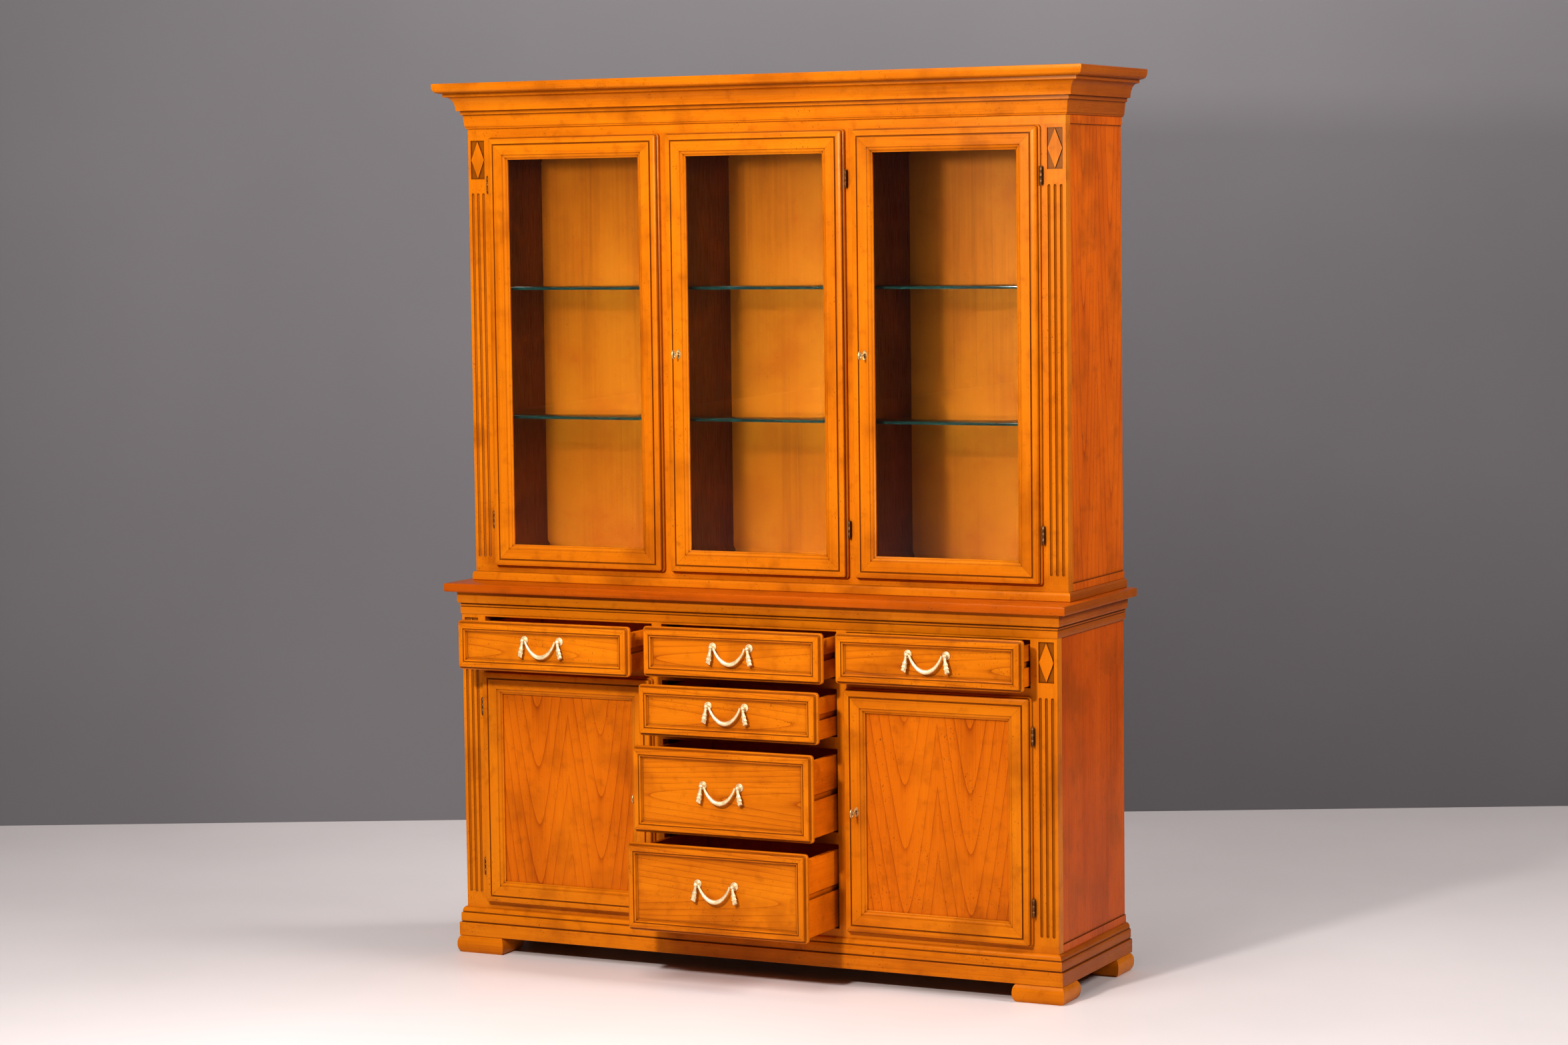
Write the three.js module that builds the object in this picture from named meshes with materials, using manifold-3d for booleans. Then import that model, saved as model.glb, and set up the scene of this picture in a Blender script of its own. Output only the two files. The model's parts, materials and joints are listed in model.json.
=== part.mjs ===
// China cabinet: a glazed three-door hutch that stands on a base with six drawers and two doors.
// Millimetres, +Z up, front towards -Y. Inside the file y is measured from the back plane, with the front
// negative; the group is moved at the end so that the origin lies on the floor under the middle of the whole.
import * as THREE from 'three';
import * as BufferGeometryUtils from 'three/addons/utils/BufferGeometryUtils.js';
import Module from 'manifold-3d';

const wasm = await Module();
wasm.setup();

// ---------- driving dimensions ----------
const GAP = 0.3;                    // clearance between pieces that touch
const BITE = 1;                     // overlap of solids that are joined, overshoot of cutters
const BODY_WIDTH = 1575;            // both carcasses, outside the corner posts
const HUTCH_DEPTH = 355;            // back plane to hutch face frame
const BASE_DEPTH = 427;             // back plane to base face frame

const FOOT_HEIGHT = 42;
const FOOT_WIDTH = 130;
const FOOT_LENGTH = 104;
const FOOT_PROUD = 4.7;             // beyond the plinth
const FOOT_ROUNDING = 11;           // how far the bullnose draws in at its top and bottom
const FOOT_FLATS = 0.94;            // share of the bullnose's half circle that is used
const FOOT_STEPS = 8;
const PLINTH_HEIGHT = 90;           // feet to the top line of the plinth band
const PLINTH_PROUD = 15.6;
const COUNTER_MOULDING_HEIGHT = 55.2;
const COUNTER_MOULDING_PROUD = 8.4;
const SLAB_THICK = 21.4;
const SLAB_PROUD = 31.5;

const HUTCH_BASE_HEIGHT = 22;       // base moulding on the slab
const HUTCH_BASE_PROUD = 7;
const HUTCH_BAND_HEIGHT = 17;       // plain band over the base moulding
const FRIEZE_HEIGHT = 19;
const CORNICE_HEIGHT = 111;
const CORNICE_PROUD = 64;
const TOP_BOARD_THICK = 18;

const FRAME_THICK = 28;             // face frames and their corner posts
const SIDE_THICK = 20;
const SIDE_RECESS = 3;              // side panels behind the corner posts and bands
const PARTITION_THICK = 18;
const BACK_THICK = 8;
const BACK_INSET = 12;              // back plane to the back panel
const BOARD_THICK = 18;

const CORNER_STILE = 61.5;          // body's edge to the first front
const COLUMN_GAP = 18;              // between neighbouring columns of fronts
const OVERLAY = 4;                  // of a door or drawer front over its opening, on each side
const CLOSED_GAP = 1;               // face frame to the back of a closed door or front
const FRONT_PROUD = 20;             // face frame to the face of a door or drawer front
const LIP_PROUD = 9;                // face frame to the outer step of doors and fronts
const PANEL_PROUD = 12;             // face frame to the flat panel of a drawer front
const CORNER_RADIUS = 8;            // of doors and drawer fronts in elevation
const CORNER_STEPS = 3;

const HUTCH_DOOR_BOTTOM = 36;       // over the slab
const HUTCH_DOOR_HEIGHT = 1053;
const HUTCH_DOOR_UNDER = 1.2;       // top of the hutch doors to the frieze
const DOOR_MEMBER = 56;             // width of a door's stiles and rails
const GLASS_THICK = 4.5;
const GLASS_BEVEL = 14;
const GLASS_RISE = 1.8;             // of the bevel, from its edge to the flat of the pane
const PANEL_THICK = 5;
const REBATE_DEPTH = 5.7;           // back face of a door to the rebate's floor
const REBATE_WIDTH = 9;

const FRONT_DROP = 3;               // lowest fronts under the top line of the plinth band
const BOTTOM_DRAWER_HEIGHT = 209;
const SECOND_DRAWER_HEIGHT = 206;
const THIRD_DRAWER_HEIGHT = 122;
const TOP_DRAWER_HEIGHT = 119.5;
const STACK_SPACE = 20;             // shows between two of the lower centre drawers
const FRONT_SPACE = 16;             // shows under the top drawers
const TOP_DRAWER_UNDER = 1;         // top drawers to the counter moulding
const DRAWER_MEMBER = 28.5;         // moulded border of a drawer front
const REST_OPEN = {                 // how far each drawer stands open at rest
  left: 112,
  right: 45,
  centre: [168, 135, 103, 76]       // from the lowest up
};

const BOX_BACK_CLEAR = 32;          // closed drawer box to the back panel
const BOX_WALL = 12;
const BOX_BOTTOM = 8;
const BOX_LOW = 9;                  // drawer front's lower edge to the box
const BOX_HIGH = 17;                // box to the drawer front's upper edge
const BOX_SIDE_CLEAR = 4;           // box to its opening, at each side
const RUNNER_HEIGHT = 14;
const RUNNER_DEPTH = 6;             // into the groove of the drawer side
const GUIDE_HEIGHT = 40;
const GUIDE_CLEAR = 2;              // wide guide to the drawer side

const SHELF_THICK = 6;
const SHELF_TOPS = [406, 721];      // over the counter slab
const SHELF_SETBACK = 7;            // behind the face frame
const SHELF_CLEAR = 2;              // at its ends and back

const PILASTER_MIDDLE = 26.5;       // body's edge to the middle flute
const FLUTE_PITCH = 15;
const FLUTE_RADIUS = 3.8;
const FLUTE_END = 19;               // plain wood under the flutes, over the band
const DIAMOND_WIDTH = 38;
const DIAMOND_HEIGHT = 94;
const DIAMOND_RECESS = 3;
const DIAMOND_MARGIN = [1, 2];      // lozenge inside its block, across and upright
const DIAMOND_TOP = 9;              // plain wood over the diamond block
const DIAMOND_TO_FLUTE = 34;

const KNUCKLE_RADIUS = 2.5;
const KNUCKLE_HEIGHT = 40;
const KNUCKLE_SIDE = 3;             // hinge axis beside the door's edge
const KNUCKLE_PROUD = 8;            // hinge axis in front of the face frame
const HUTCH_KNUCKLE_INSET = 116;    // hinge to the end of a hutch door
const LOWER_KNUCKLE_INSET = 90;

const HANDLE_SPACING = 96;
const HANDLE_RISE = 18;             // posts over the middle of the front
const POST_RADIUS = 3;
const POST_ROOT = 3;                // post sunk in the panel, and short of the ball's middle
const BALL_OUT = 12;                // ball's middle to the drawer's flat panel
const BAIL_HALF = 41;               // middle to the blunt end of the swinging bail
const BAIL_DROP = 39;
const BAIL_THICK = 11;
const BAIL_END_THICK = 4.6;
const BAIL_SAG = 0.8;               // exponent of the swag's curve
const BAIL_SWELL = 1.5;             // exponent of the swag's thickness
const BAIL_STEPS = 12;
const BAIL_STRIDE = 0.05;           // share of the half span over which its direction is taken

const KEY_SHARE = 0.625;            // keyhole across a door's stile, as a share of its width
const KEY_SHAFT_RADIUS = 2;
const KEYHOLE_CLEAR = 1.2;
const KEYHOLE_DEPTH = 10;
const KEY_INSERT = 9;               // shaft inside the keyhole
const KEY_BOW_OUT = 28;             // middle of the bow to the stile's face
const KEY_BOW_HALF = [8, 11];       // half depth and half height of the oval bow
const KEY_BOW_WIRE = 1.6;
const KEY_BOW_FACETS = 6;
const ROUND_SIDES = 8;              // facets of thin round parts

// ---------- moulding profiles ----------
// Round the body: [proud of the body, height]. The height is over the moulding's lower edge when positive and
// under its upper edge when negative.
const CORNICE_FOOT = [...quarter([1, 0], [4.4, 5], 1, 2), [5.5, 5.4]];
const CORNICE_NECK = [[8.8, -76], [13, -75.4], [13, -67], [17, -66.4]];
const COVE_FOOT = [21, -66];
const COVE_HEAD = [-25.4, -33];     // from here to the cap, proud is measured back from the cornice's edge
const COVE_STEPS = 6;
const CORNICE_CAP = [
  [-20, -32],
  [-20, -24.6],
  [-13.5, -24],
  ...quarter([-11, -23], [0, -6], 1, 4),
  [0, -1.5],
  [-1.5, 0]
];
const SLAB_EDGE = [[-3, 0], [-0.9, 0.9], [0, 3]];   // one arris, mirrored for the other
const COUNTER_PROFILE = [                           // proud from the edge, under the slab
  [0, 0],
  [0, -24],
  ...quarter([-0.4, -25], [-3.4, -29], -1, 2),
  [-6.9, -29.6],
  [-6.9, -31.4],
  [-4.4, -32],
  [-5, -35.5],
  [-7.1, -36],
  [-7.1, -37.6],
  [-5.9, -38]
];
const COUNTER_FOOT = [[-5.9, 2], [-7, 0]];
const PLINTH_OVOLO = [[-15.3, 72], ...quarter([-14.4, 71.6], [-6.2, 60], 1, 4)];
const PLINTH_BANDS = [
  [-7, 59],
  [-7, 57.6],
  [-4.4, 56.6],
  [-3.6, 55],
  [-3.6, 36],
  [-5.4, 35],
  [-5.4, 33.4],
  [-1, 32.6],
  [0, 31.4],
  [0, 1],
  [-1, 0]
];
const HUTCH_BASE_FOOT = [[-1.5, 0], [0, 1.5]];
const HUTCH_BASE_COVE = 7;          // height of the cove at its top
const HUTCH_COVE_STEPS = 4;

// Across a door or drawer front: [inset from its edge, height]. Lips are measured from LIP_PROUD, faces from
// FRONT_PROUD, and inner mouldings run from the inner edge of the member, with inset negative.
const DOOR_LIP = [[0, -1.6], [1.2, 0.2], [3.4, 1], [4, 1]];
const DOOR_FACE = [[4.2, -2.4], [5, -0.8], [6.6, 0], [17, -0.3], [18.4, -2.2], [20.2, -2.2], [21, 0.2]];
const DOOR_INNER = [
  [-12.4, 0.2],
  [-11, -1.8],
  [-8.4, -2.2],
  [-5.4, -4.2],
  [-3.4, -7],
  [-1.4, -7.6],
  [0, -9]
];
const DRAWER_LIP = [[0, -1.6], [1.2, 0.2], [3.6, 1], [4.6, 1], [4.9, 3], [6.6, 3.4]];
const DRAWER_FACE = [[7, -1.2], [8.2, 0]];
const DRAWER_GROOVE = [[-9.7, 0], [-8.9, -1.6], [-7.7, -1.6], [-7.1, -0.6], [-4.5, -1.8]];
const DRAWER_INNER = [[-2.1, 1.6], [-0.4, 0.9], [0, 0]];    // height over the flat panel
const PANE_EASE = [0.4, 0.2];       // a pane's arris in the rebate, and its lift at the sight edge

// ---------- heights and places that follow ----------
const BODY_HALF = BODY_WIDTH / 2;
const FRONT_WIDTH = (BODY_WIDTH - 2 * CORNER_STILE - 2 * COLUMN_GAP) / 3;
const COLUMN_PITCH = FRONT_WIDTH + COLUMN_GAP;
const PLINTH_TOP = FOOT_HEIGHT + PLINTH_HEIGHT;
const FRONT_BOTTOM = PLINTH_TOP - FRONT_DROP;
const SECOND_BOTTOM = FRONT_BOTTOM + BOTTOM_DRAWER_HEIGHT + STACK_SPACE;
const THIRD_BOTTOM = SECOND_BOTTOM + SECOND_DRAWER_HEIGHT + STACK_SPACE;
const LOWER_DOOR_TOP = THIRD_BOTTOM + THIRD_DRAWER_HEIGHT;
const TOP_DRAWER_BOTTOM = LOWER_DOOR_TOP + FRONT_SPACE;
const BASE_BODY_TOP = TOP_DRAWER_BOTTOM + TOP_DRAWER_HEIGHT + TOP_DRAWER_UNDER;
const SLAB_BOTTOM = BASE_BODY_TOP + COUNTER_MOULDING_HEIGHT;
const SLAB_TOP = SLAB_BOTTOM + SLAB_THICK;
const HUTCH_BOARD_TOP = SLAB_TOP + HUTCH_BASE_HEIGHT;
const HUTCH_FLOOR = HUTCH_BOARD_TOP + HUTCH_BAND_HEIGHT;
const DOOR_Z = SLAB_TOP + HUTCH_DOOR_BOTTOM;
const DOOR_TOP = DOOR_Z + HUTCH_DOOR_HEIGHT;
const FRIEZE_BOTTOM = DOOR_TOP + HUTCH_DOOR_UNDER;
const HUTCH_TOP = FRIEZE_BOTTOM + FRIEZE_HEIGHT;
const CORNICE_TOP = HUTCH_TOP + CORNICE_HEIGHT;
const SIDE_INNER = BODY_HALF - SIDE_THICK;
const BACK_FRONT = BACK_INSET + BACK_THICK;     // back plane to the front of the back panel
const OPENING_HALF = FRONT_WIDTH / 2 - OVERLAY;
const BOX_HALF = OPENING_HALF - BOX_SIDE_CLEAR;
const BOX_LENGTH = BASE_DEPTH - BACK_FRONT - BOX_BACK_CLEAR;
const KEY_INSET = DOOR_MEMBER * KEY_SHARE;
const BAIL_PROUD = PANEL_PROUD + BALL_OUT;
const PARTITION_X = COLUMN_PITCH / 2;
const COLUMNS = { left: -COLUMN_PITCH, centre: 0, right: COLUMN_PITCH };
const SIDES = { left: -1, right: 1 };
const WIDEST_OPEN = Math.max(...REST_OPEN.centre, REST_OPEN.left, REST_OPEN.right);
const REST_REACH = BASE_DEPTH + WIDEST_OPEN + BAIL_PROUD + BAIL_THICK / 2;

// ---------- materials ----------
const finish = (color, roughness, metalness, extra = {}) => () =>
  new THREE.MeshStandardMaterial({ color, roughness, metalness, ...extra });
const cherry = finish(0xd9751c, 0.35, 0);
const sideCherry = finish(0xb9571a, 0.38, 0);
const figured = finish(0xd4680f, 0.35, 0);
const innerWood = finish(0xc98235, 0.5, 0);
const drawerWood = finish(0xc4691f, 0.45, 0);
const clearGlass = finish(0xdfeceb, 0.05, 0, { transparent: true, opacity: 0.3 });
const shelfGlass = finish(0x8fb5ae, 0.05, 0, { transparent: true, opacity: 0.4 });
const satinBrass = finish(0xcbb78c, 0.35, 1);
const agedBrass = finish(0xb89a5a, 0.4, 1);

// ---------- solids ----------
// A closed mesh from points and triangles: equal points are joined, collapsed triangles dropped, faces out.
function closedMesh(points, triangles) {
  const geometry = new THREE.BufferGeometry();
  geometry.setAttribute('position', new THREE.Float32BufferAttribute(points.flat(), 3));
  geometry.setIndex(triangles.flat());
  const merged = BufferGeometryUtils.mergeVertices(geometry, 1e-3);
  const index = Array.from(merged.index.array);
  const kept = [];
  for (let i = 0; i < index.length; i += 3) {
    const [a, b, c] = index.slice(i, i + 3);
    if (a !== b && b !== c && c !== a) kept.push([a, b, c]);
  }
  const at = (i) => new THREE.Vector3().fromBufferAttribute(merged.attributes.position, i);
  const volume = kept.reduce((sum, [a, b, c]) => sum + at(a).dot(at(b).cross(at(c))), 0);
  merged.setIndex((volume < 0 ? kept.map(([a, b, c]) => [a, c, b]) : kept).flat());
  return merged;
}

// Geometry in and out of the solid kernel, and its union and difference.
function toManifold(geometry) {
  const bare = geometry.clone();
  bare.deleteAttribute('normal');
  bare.deleteAttribute('uv');
  const merged = BufferGeometryUtils.mergeVertices(bare, 1e-4);
  const mesh = new wasm.Mesh({
    numProp: 3,
    vertProperties: new Float32Array(merged.attributes.position.array),
    triVerts: new Uint32Array(merged.index.array)
  });
  return new wasm.Manifold(mesh);
}

function toGeometry(manifold) {
  const mesh = manifold.getMesh();
  const geometry = new THREE.BufferGeometry();
  geometry.setAttribute('position', new THREE.Float32BufferAttribute(mesh.vertProperties, 3));
  geometry.setIndex(Array.from(mesh.triVerts));
  return geometry;
}

function join(...geometries) {
  return toGeometry(geometries.map(toManifold).reduce((whole, part) => whole.add(part)));
}

function cut(body, ...tools) {
  return toGeometry(tools.map(toManifold).reduce((whole, tool) => whole.subtract(tool), toManifold(body)));
}

// A block between two corners.
function block([x0, y0, z0], [x1, y1, z1]) {
  const geometry = new THREE.BoxGeometry(x1 - x0, y1 - y0, z1 - z0);
  geometry.translate((x0 + x1) / 2, (y0 + y1) / 2, (z0 + z1) / 2);
  return geometry;
}

// The whole numbers from 0, count of them.
function counts(count) {
  return Array.from({ length: count }, (_, i) => i);
}

// Triangles between neighbouring rings of equal point count.
function bridge(rings, closed) {
  const size = rings[0].length;
  const spans = closed ? rings.length : rings.length - 1;
  const triangles = [];
  for (let r = 0; r < spans; r += 1) {
    const low = r * size;
    const high = ((r + 1) % rings.length) * size;
    for (let i = 0; i < size; i += 1) {
      const j = (i + 1) % size;
      triangles.push([low + i, low + j, high + j], [low + i, high + j, high + i]);
    }
  }
  return triangles;
}

// A solid through rings, closed at both ends by flat caps. The outline is a ring seen flat.
function loft(rings, outline = rings[0].map(([x, y]) => new THREE.Vector2(x, y))) {
  const clockwise = THREE.ShapeUtils.isClockWise(outline);
  const cap = THREE.ShapeUtils.triangulateShape(outline, []);
  const last = (rings.length - 1) * rings[0].length;
  const triangles = bridge(rings, false);
  for (const [a, b, c] of cap.map(([a, b, c]) => (clockwise ? [a, c, b] : [a, b, c]))) {
    triangles.push([a, c, b], [last + a, last + b, last + c]);
  }
  return closedMesh(rings.flat(), triangles);
}

const elevation = (ring) => ring.map(([x, , z]) => new THREE.Vector2(x, z));

// A moulding round the front and both sides of a body, mitred at the front corners. The profile is a closed
// outline of points [proud, z].
function mouldingRound(profile, depth) {
  const station = (signX, atBack) => profile.map(([proud, z]) => {
    const y = atBack ? 0 : -(depth + proud);
    return [signX * (BODY_HALF + proud), y, z];
  });
  const rings = [station(-1, true), station(-1, false), station(1, false), station(1, true)];
  return loft(rings, profile.map(([proud, z]) => new THREE.Vector2(proud, z)));
}

// A solid board with a moulded edge on the front and both sides, flat at the back.
function mouldedBoard(edge, depth) {
  return loft(edge.map(([proud, z]) => [
    [-(BODY_HALF + proud), 0, z],
    [-(BODY_HALF + proud), -(depth + proud), z],
    [BODY_HALF + proud, -(depth + proud), z],
    [BODY_HALF + proud, 0, z]
  ]));
}

// One ring of a door or drawer front: a rectangle drawn in by inset, at depth y, its corners rounded.
function frontRing({ x, z, width, height }, inset, y) {
  const radius = Math.max(0, CORNER_RADIUS - inset);
  const halfX = width / 2 - inset - radius;
  const halfZ = height / 2 - inset - radius;
  const corners = [[1, 1], [-1, 1], [-1, -1], [1, -1]];
  return corners.flatMap(([sx, sz], quarterTurn) => counts(CORNER_STEPS + 1).map((k) => {
    const angle = (quarterTurn + k / CORNER_STEPS) * Math.PI / 2;
    return [x + sx * halfX + radius * Math.cos(angle), y, z + sz * halfZ + radius * Math.sin(angle)];
  }));
}

// The elevation of a door or drawer front between two heights.
function frontBetween(x, bottom, top) {
  return { x, z: (bottom + top) / 2, width: FRONT_WIDTH, height: top - bottom };
}

// The rings of a section [inset, proud of the face frame] round one front.
function sectionRings(front, section, plane) {
  return section.map(([inset, proud]) => frontRing(front, inset, plane - proud));
}

// ---------- mouldings ----------
// A quarter curve between two profile points; bulge 1 swells outwards, -1 hollows inwards.
function quarter([p0, z0], [p1, z1], bulge, steps) {
  return counts(steps + 1).map((k) => {
    const angle = (k / steps) * Math.PI / 2;
    const first = bulge > 0 ? Math.sin(angle) : 1 - Math.cos(angle);
    const second = bulge > 0 ? 1 - Math.cos(angle) : Math.sin(angle);
    return [p0 + (p1 - p0) * first, z0 + (z1 - z0) * second];
  });
}

const shifted = (points, across, up) => points.map(([first, second]) => [first + across, second + up]);

function crownCornice() {
  const low = HUTCH_TOP + GAP;
  const coveHead = [CORNICE_PROUD + COVE_HEAD[0], COVE_HEAD[1]];
  const edge = [
    [0, low],
    ...shifted(CORNICE_FOOT, 0, low),
    ...shifted(CORNICE_NECK, 0, CORNICE_TOP),
    ...shifted(quarter(coveHead, COVE_FOOT, 1, COVE_STEPS).reverse(), 0, CORNICE_TOP),
    ...shifted(CORNICE_CAP, CORNICE_PROUD, CORNICE_TOP)
  ];
  const well = block(
    [-SIDE_INNER, -(HUTCH_DEPTH - FRAME_THICK), low + TOP_BOARD_THICK],
    [SIDE_INNER, -BACK_FRONT, CORNICE_TOP + BITE]
  );
  return cut(mouldedBoard(edge, HUTCH_DEPTH), well);
}

function counterTop() {
  const low = shifted(SLAB_EDGE, SLAB_PROUD, SLAB_BOTTOM + GAP);
  const high = SLAB_EDGE.map(([proud, up]) => [SLAB_PROUD + proud, SLAB_TOP - up]).reverse();
  return mouldedBoard([...low, ...high], BASE_DEPTH);
}

function counterMoulding() {
  return mouldingRound([
    [GAP, SLAB_BOTTOM],
    ...shifted(COUNTER_PROFILE, COUNTER_MOULDING_PROUD, SLAB_BOTTOM),
    ...shifted(COUNTER_FOOT, COUNTER_MOULDING_PROUD, BASE_BODY_TOP),
    [GAP, BASE_BODY_TOP]
  ], BASE_DEPTH);
}

function plinthMoulding() {
  const low = FOOT_HEIGHT + GAP;
  return mouldingRound([
    ...shifted([...PLINTH_OVOLO, ...PLINTH_BANDS], PLINTH_PROUD, low),
    [GAP, low]
  ], BASE_DEPTH);
}

function hutchBase() {
  const low = SLAB_TOP + GAP;
  const coveFoot = [HUTCH_BASE_PROUD, HUTCH_BOARD_TOP - HUTCH_BASE_COVE];
  const board = mouldedBoard([
    ...shifted(HUTCH_BASE_FOOT, HUTCH_BASE_PROUD, low),
    ...quarter(coveFoot, [0, HUTCH_BOARD_TOP], -1, HUTCH_COVE_STEPS)
  ], HUTCH_DEPTH);
  const floor = block(
    [-SIDE_INNER + GAP, -(HUTCH_DEPTH - FRAME_THICK) + GAP, HUTCH_BOARD_TOP - BITE],
    [SIDE_INNER - GAP, -BACK_FRONT - GAP, HUTCH_FLOOR]
  );
  return join(board, floor);
}

function foot(signX, atBack) {
  const outer = BODY_HALF + PLINTH_PROUD + FOOT_PROUD;
  const front = -(BASE_DEPTH + PLINTH_PROUD + FOOT_PROUD);
  const rings = counts(FOOT_STEPS + 1).map((k) => {
    const turn = (k / FOOT_STEPS) * 2 - 1;
    const inset = FOOT_ROUNDING * (1 - Math.sqrt(1 - (turn * FOOT_FLATS) ** 2));
    const z = (k / FOOT_STEPS) * FOOT_HEIGHT;
    const outerX = outer - inset;
    const innerX = outer - FOOT_WIDTH + inset;
    const frontY = (atBack ? -FOOT_LENGTH : front) + inset;
    const backY = (atBack ? 0 : front + FOOT_LENGTH) - inset;
    return [[outerX, frontY], [outerX, backY], [innerX, backY], [innerX, frontY]]
      .map(([x, y]) => [signX * x, y, z]);
  });
  return loft(rings);
}

// ---------- carcass ----------
// A side panel: its outer face is set back between a lower and an upper band.
function side(signX, depth, bottom, top, recessBottom, recessTop) {
  const front = -(depth - FRAME_THICK - GAP);
  const panel = block([SIDE_INNER, front, bottom], [BODY_HALF, 0, top]);
  const recess = block(
    [BODY_HALF - SIDE_RECESS, front - BITE, recessBottom],
    [BODY_HALF + BITE, BITE, recessTop]
  );
  return mirrored(cut(panel, recess), signX);
}

function mirrored(geometry, signX) {
  if (signX > 0) return geometry;
  const { position } = geometry.attributes;
  const points = counts(position.count).map((i) => [-position.getX(i), position.getY(i), position.getZ(i)]);
  const index = geometry.index.array;
  const triangles = counts(index.length / 3).map((i) => [index[3 * i], index[3 * i + 1], index[3 * i + 2]]);
  return closedMesh(points, triangles);
}

// The runner that rides in a drawer's side groove, from a wall at wallX to the drawer's side. Where the wall
// is far from the drawer a thick guide fills the space.
function runner(wallX, boxSideX, height) {
  const into = boxSideX > wallX ? 1 : -1;
  const root = wallX - into * BITE;
  const spans = [[root, boxSideX + into * RUNNER_DEPTH, RUNNER_HEIGHT]];
  if (Math.abs(boxSideX - wallX) > 2 * RUNNER_DEPTH) {
    spans.push([root, boxSideX - into * GUIDE_CLEAR, GUIDE_HEIGHT]);
  }
  return spans.map(([x0, x1, tall]) => block(
    [Math.min(x0, x1), BASE_INNER_FRONT, height - tall / 2],
    [Math.max(x0, x1), BASE_INNER_FRONT + BASE_INNER_LENGTH, height + tall / 2]
  ));
}

// A face frame with one opening behind each front, its pilasters carved and its hinges on.
function frame(depth, bottom, top, fronts, hinges, carving) {
  const board = block([-BODY_HALF, -depth, bottom], [BODY_HALF, -depth + FRAME_THICK, top]);
  const holes = fronts.map(({ x, z, height }) => block(
    [x - OPENING_HALF, -depth - BITE, z - height / 2 + OVERLAY],
    [x + OPENING_HALF, -depth + FRAME_THICK + BITE, z + height / 2 - OVERLAY]
  ));
  return join(cut(board, ...holes, ...carving), ...hinges);
}

// Cutters for the flutes and the diamond block of one corner pilaster.
function pilasterCuts(x, front, low, high) {
  const diamondTop = high - DIAMOND_TOP;
  const fluteTop = diamondTop - DIAMOND_HEIGHT - DIAMOND_TO_FLUTE;
  const fluteBottom = low + FLUTE_END;
  const straight = fluteTop - fluteBottom - 2 * FLUTE_RADIUS;
  const flutes = [-1, 0, 1].map((k) => {
    const geometry = new THREE.CapsuleGeometry(FLUTE_RADIUS, straight, 3, ROUND_SIDES, 1);
    geometry.rotateX(Math.PI / 2);
    geometry.translate(x + k * FLUTE_PITCH, front, (fluteTop + fluteBottom) / 2);
    return geometry;
  });
  const halfX = DIAMOND_WIDTH / 2;
  const halfZ = DIAMOND_HEIGHT / 2;
  const tipX = halfX - DIAMOND_MARGIN[0];
  const tipZ = halfZ - DIAMOND_MARGIN[1];
  const flat = (points) => points.map(([across, up]) => new THREE.Vector2(across, up));
  const corners = [[-halfX, -halfZ], [halfX, -halfZ], [halfX, halfZ], [-halfX, halfZ]];
  const outline = new THREE.Shape(flat(corners));
  outline.holes.push(new THREE.Path(flat([[0, -tipZ], [tipX, 0], [0, tipZ], [-tipX, 0]])));
  const ground = new THREE.ExtrudeGeometry(outline, { depth: 2 * DIAMOND_RECESS, bevelEnabled: false });
  ground.rotateX(Math.PI / 2);
  ground.translate(x, front + DIAMOND_RECESS, diamondTop - halfZ);
  return [...flutes, ground];
}

// Hinge barrels with the leaf that stands out of the face frame, for one door. Hinge -1 is the door's left
// edge, 1 its right edge.
function knuckles({ x, z, height }, hinge, depth, inset) {
  const axisX = x + hinge * (FRONT_WIDTH / 2 + KNUCKLE_SIDE);
  const axisY = -(depth + KNUCKLE_PROUD);
  return [-1, 1].flatMap((end) => {
    const middle = z + end * (height / 2 - inset);
    const radius = KNUCKLE_RADIUS;
    const barrel = new THREE.CylinderGeometry(radius, radius, KNUCKLE_HEIGHT, ROUND_SIDES);
    barrel.rotateX(Math.PI / 2);
    barrel.translate(axisX, axisY, middle);
    const leaf = block(
      [axisX - KNUCKLE_RADIUS / 2, axisY, middle - KNUCKLE_HEIGHT / 2],
      [axisX + KNUCKLE_RADIUS / 2, -depth + BITE, middle + KNUCKLE_HEIGHT / 2]
    );
    return [barrel, leaf];
  });
}

// Doors: column, hinge edge and elevation.
const HUTCH_DOORS = [['left', -1], ['centre', 1], ['right', 1]].map(([column, hinge]) => {
  return { column, hinge, front: frontBetween(COLUMNS[column], DOOR_Z, DOOR_TOP) };
});
const LOWER_DOORS = [['left', -1], ['right', 1]].map(([column, hinge]) => {
  return { column, hinge, front: frontBetween(COLUMNS[column], FRONT_BOTTOM, LOWER_DOOR_TOP) };
});
const PILASTERS = [-1, 1].map((sign) => sign * (BODY_HALF - PILASTER_MIDDLE));

// Drawers: name, elevation and opening at rest.
const DRAWERS = [
  ['left_top', 'left', TOP_DRAWER_BOTTOM, TOP_DRAWER_HEIGHT, REST_OPEN.left],
  ['right_top', 'right', TOP_DRAWER_BOTTOM, TOP_DRAWER_HEIGHT, REST_OPEN.right],
  ['centre_first', 'centre', FRONT_BOTTOM, BOTTOM_DRAWER_HEIGHT, REST_OPEN.centre[0]],
  ['centre_second', 'centre', SECOND_BOTTOM, SECOND_DRAWER_HEIGHT, REST_OPEN.centre[1]],
  ['centre_third', 'centre', THIRD_BOTTOM, THIRD_DRAWER_HEIGHT, REST_OPEN.centre[2]],
  ['centre_top', 'centre', TOP_DRAWER_BOTTOM, TOP_DRAWER_HEIGHT, REST_OPEN.centre[3]]
].map(([name, column, bottom, height, open]) => {
  return { name, open, front: frontBetween(COLUMNS[column], bottom, bottom + height) };
});

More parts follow.
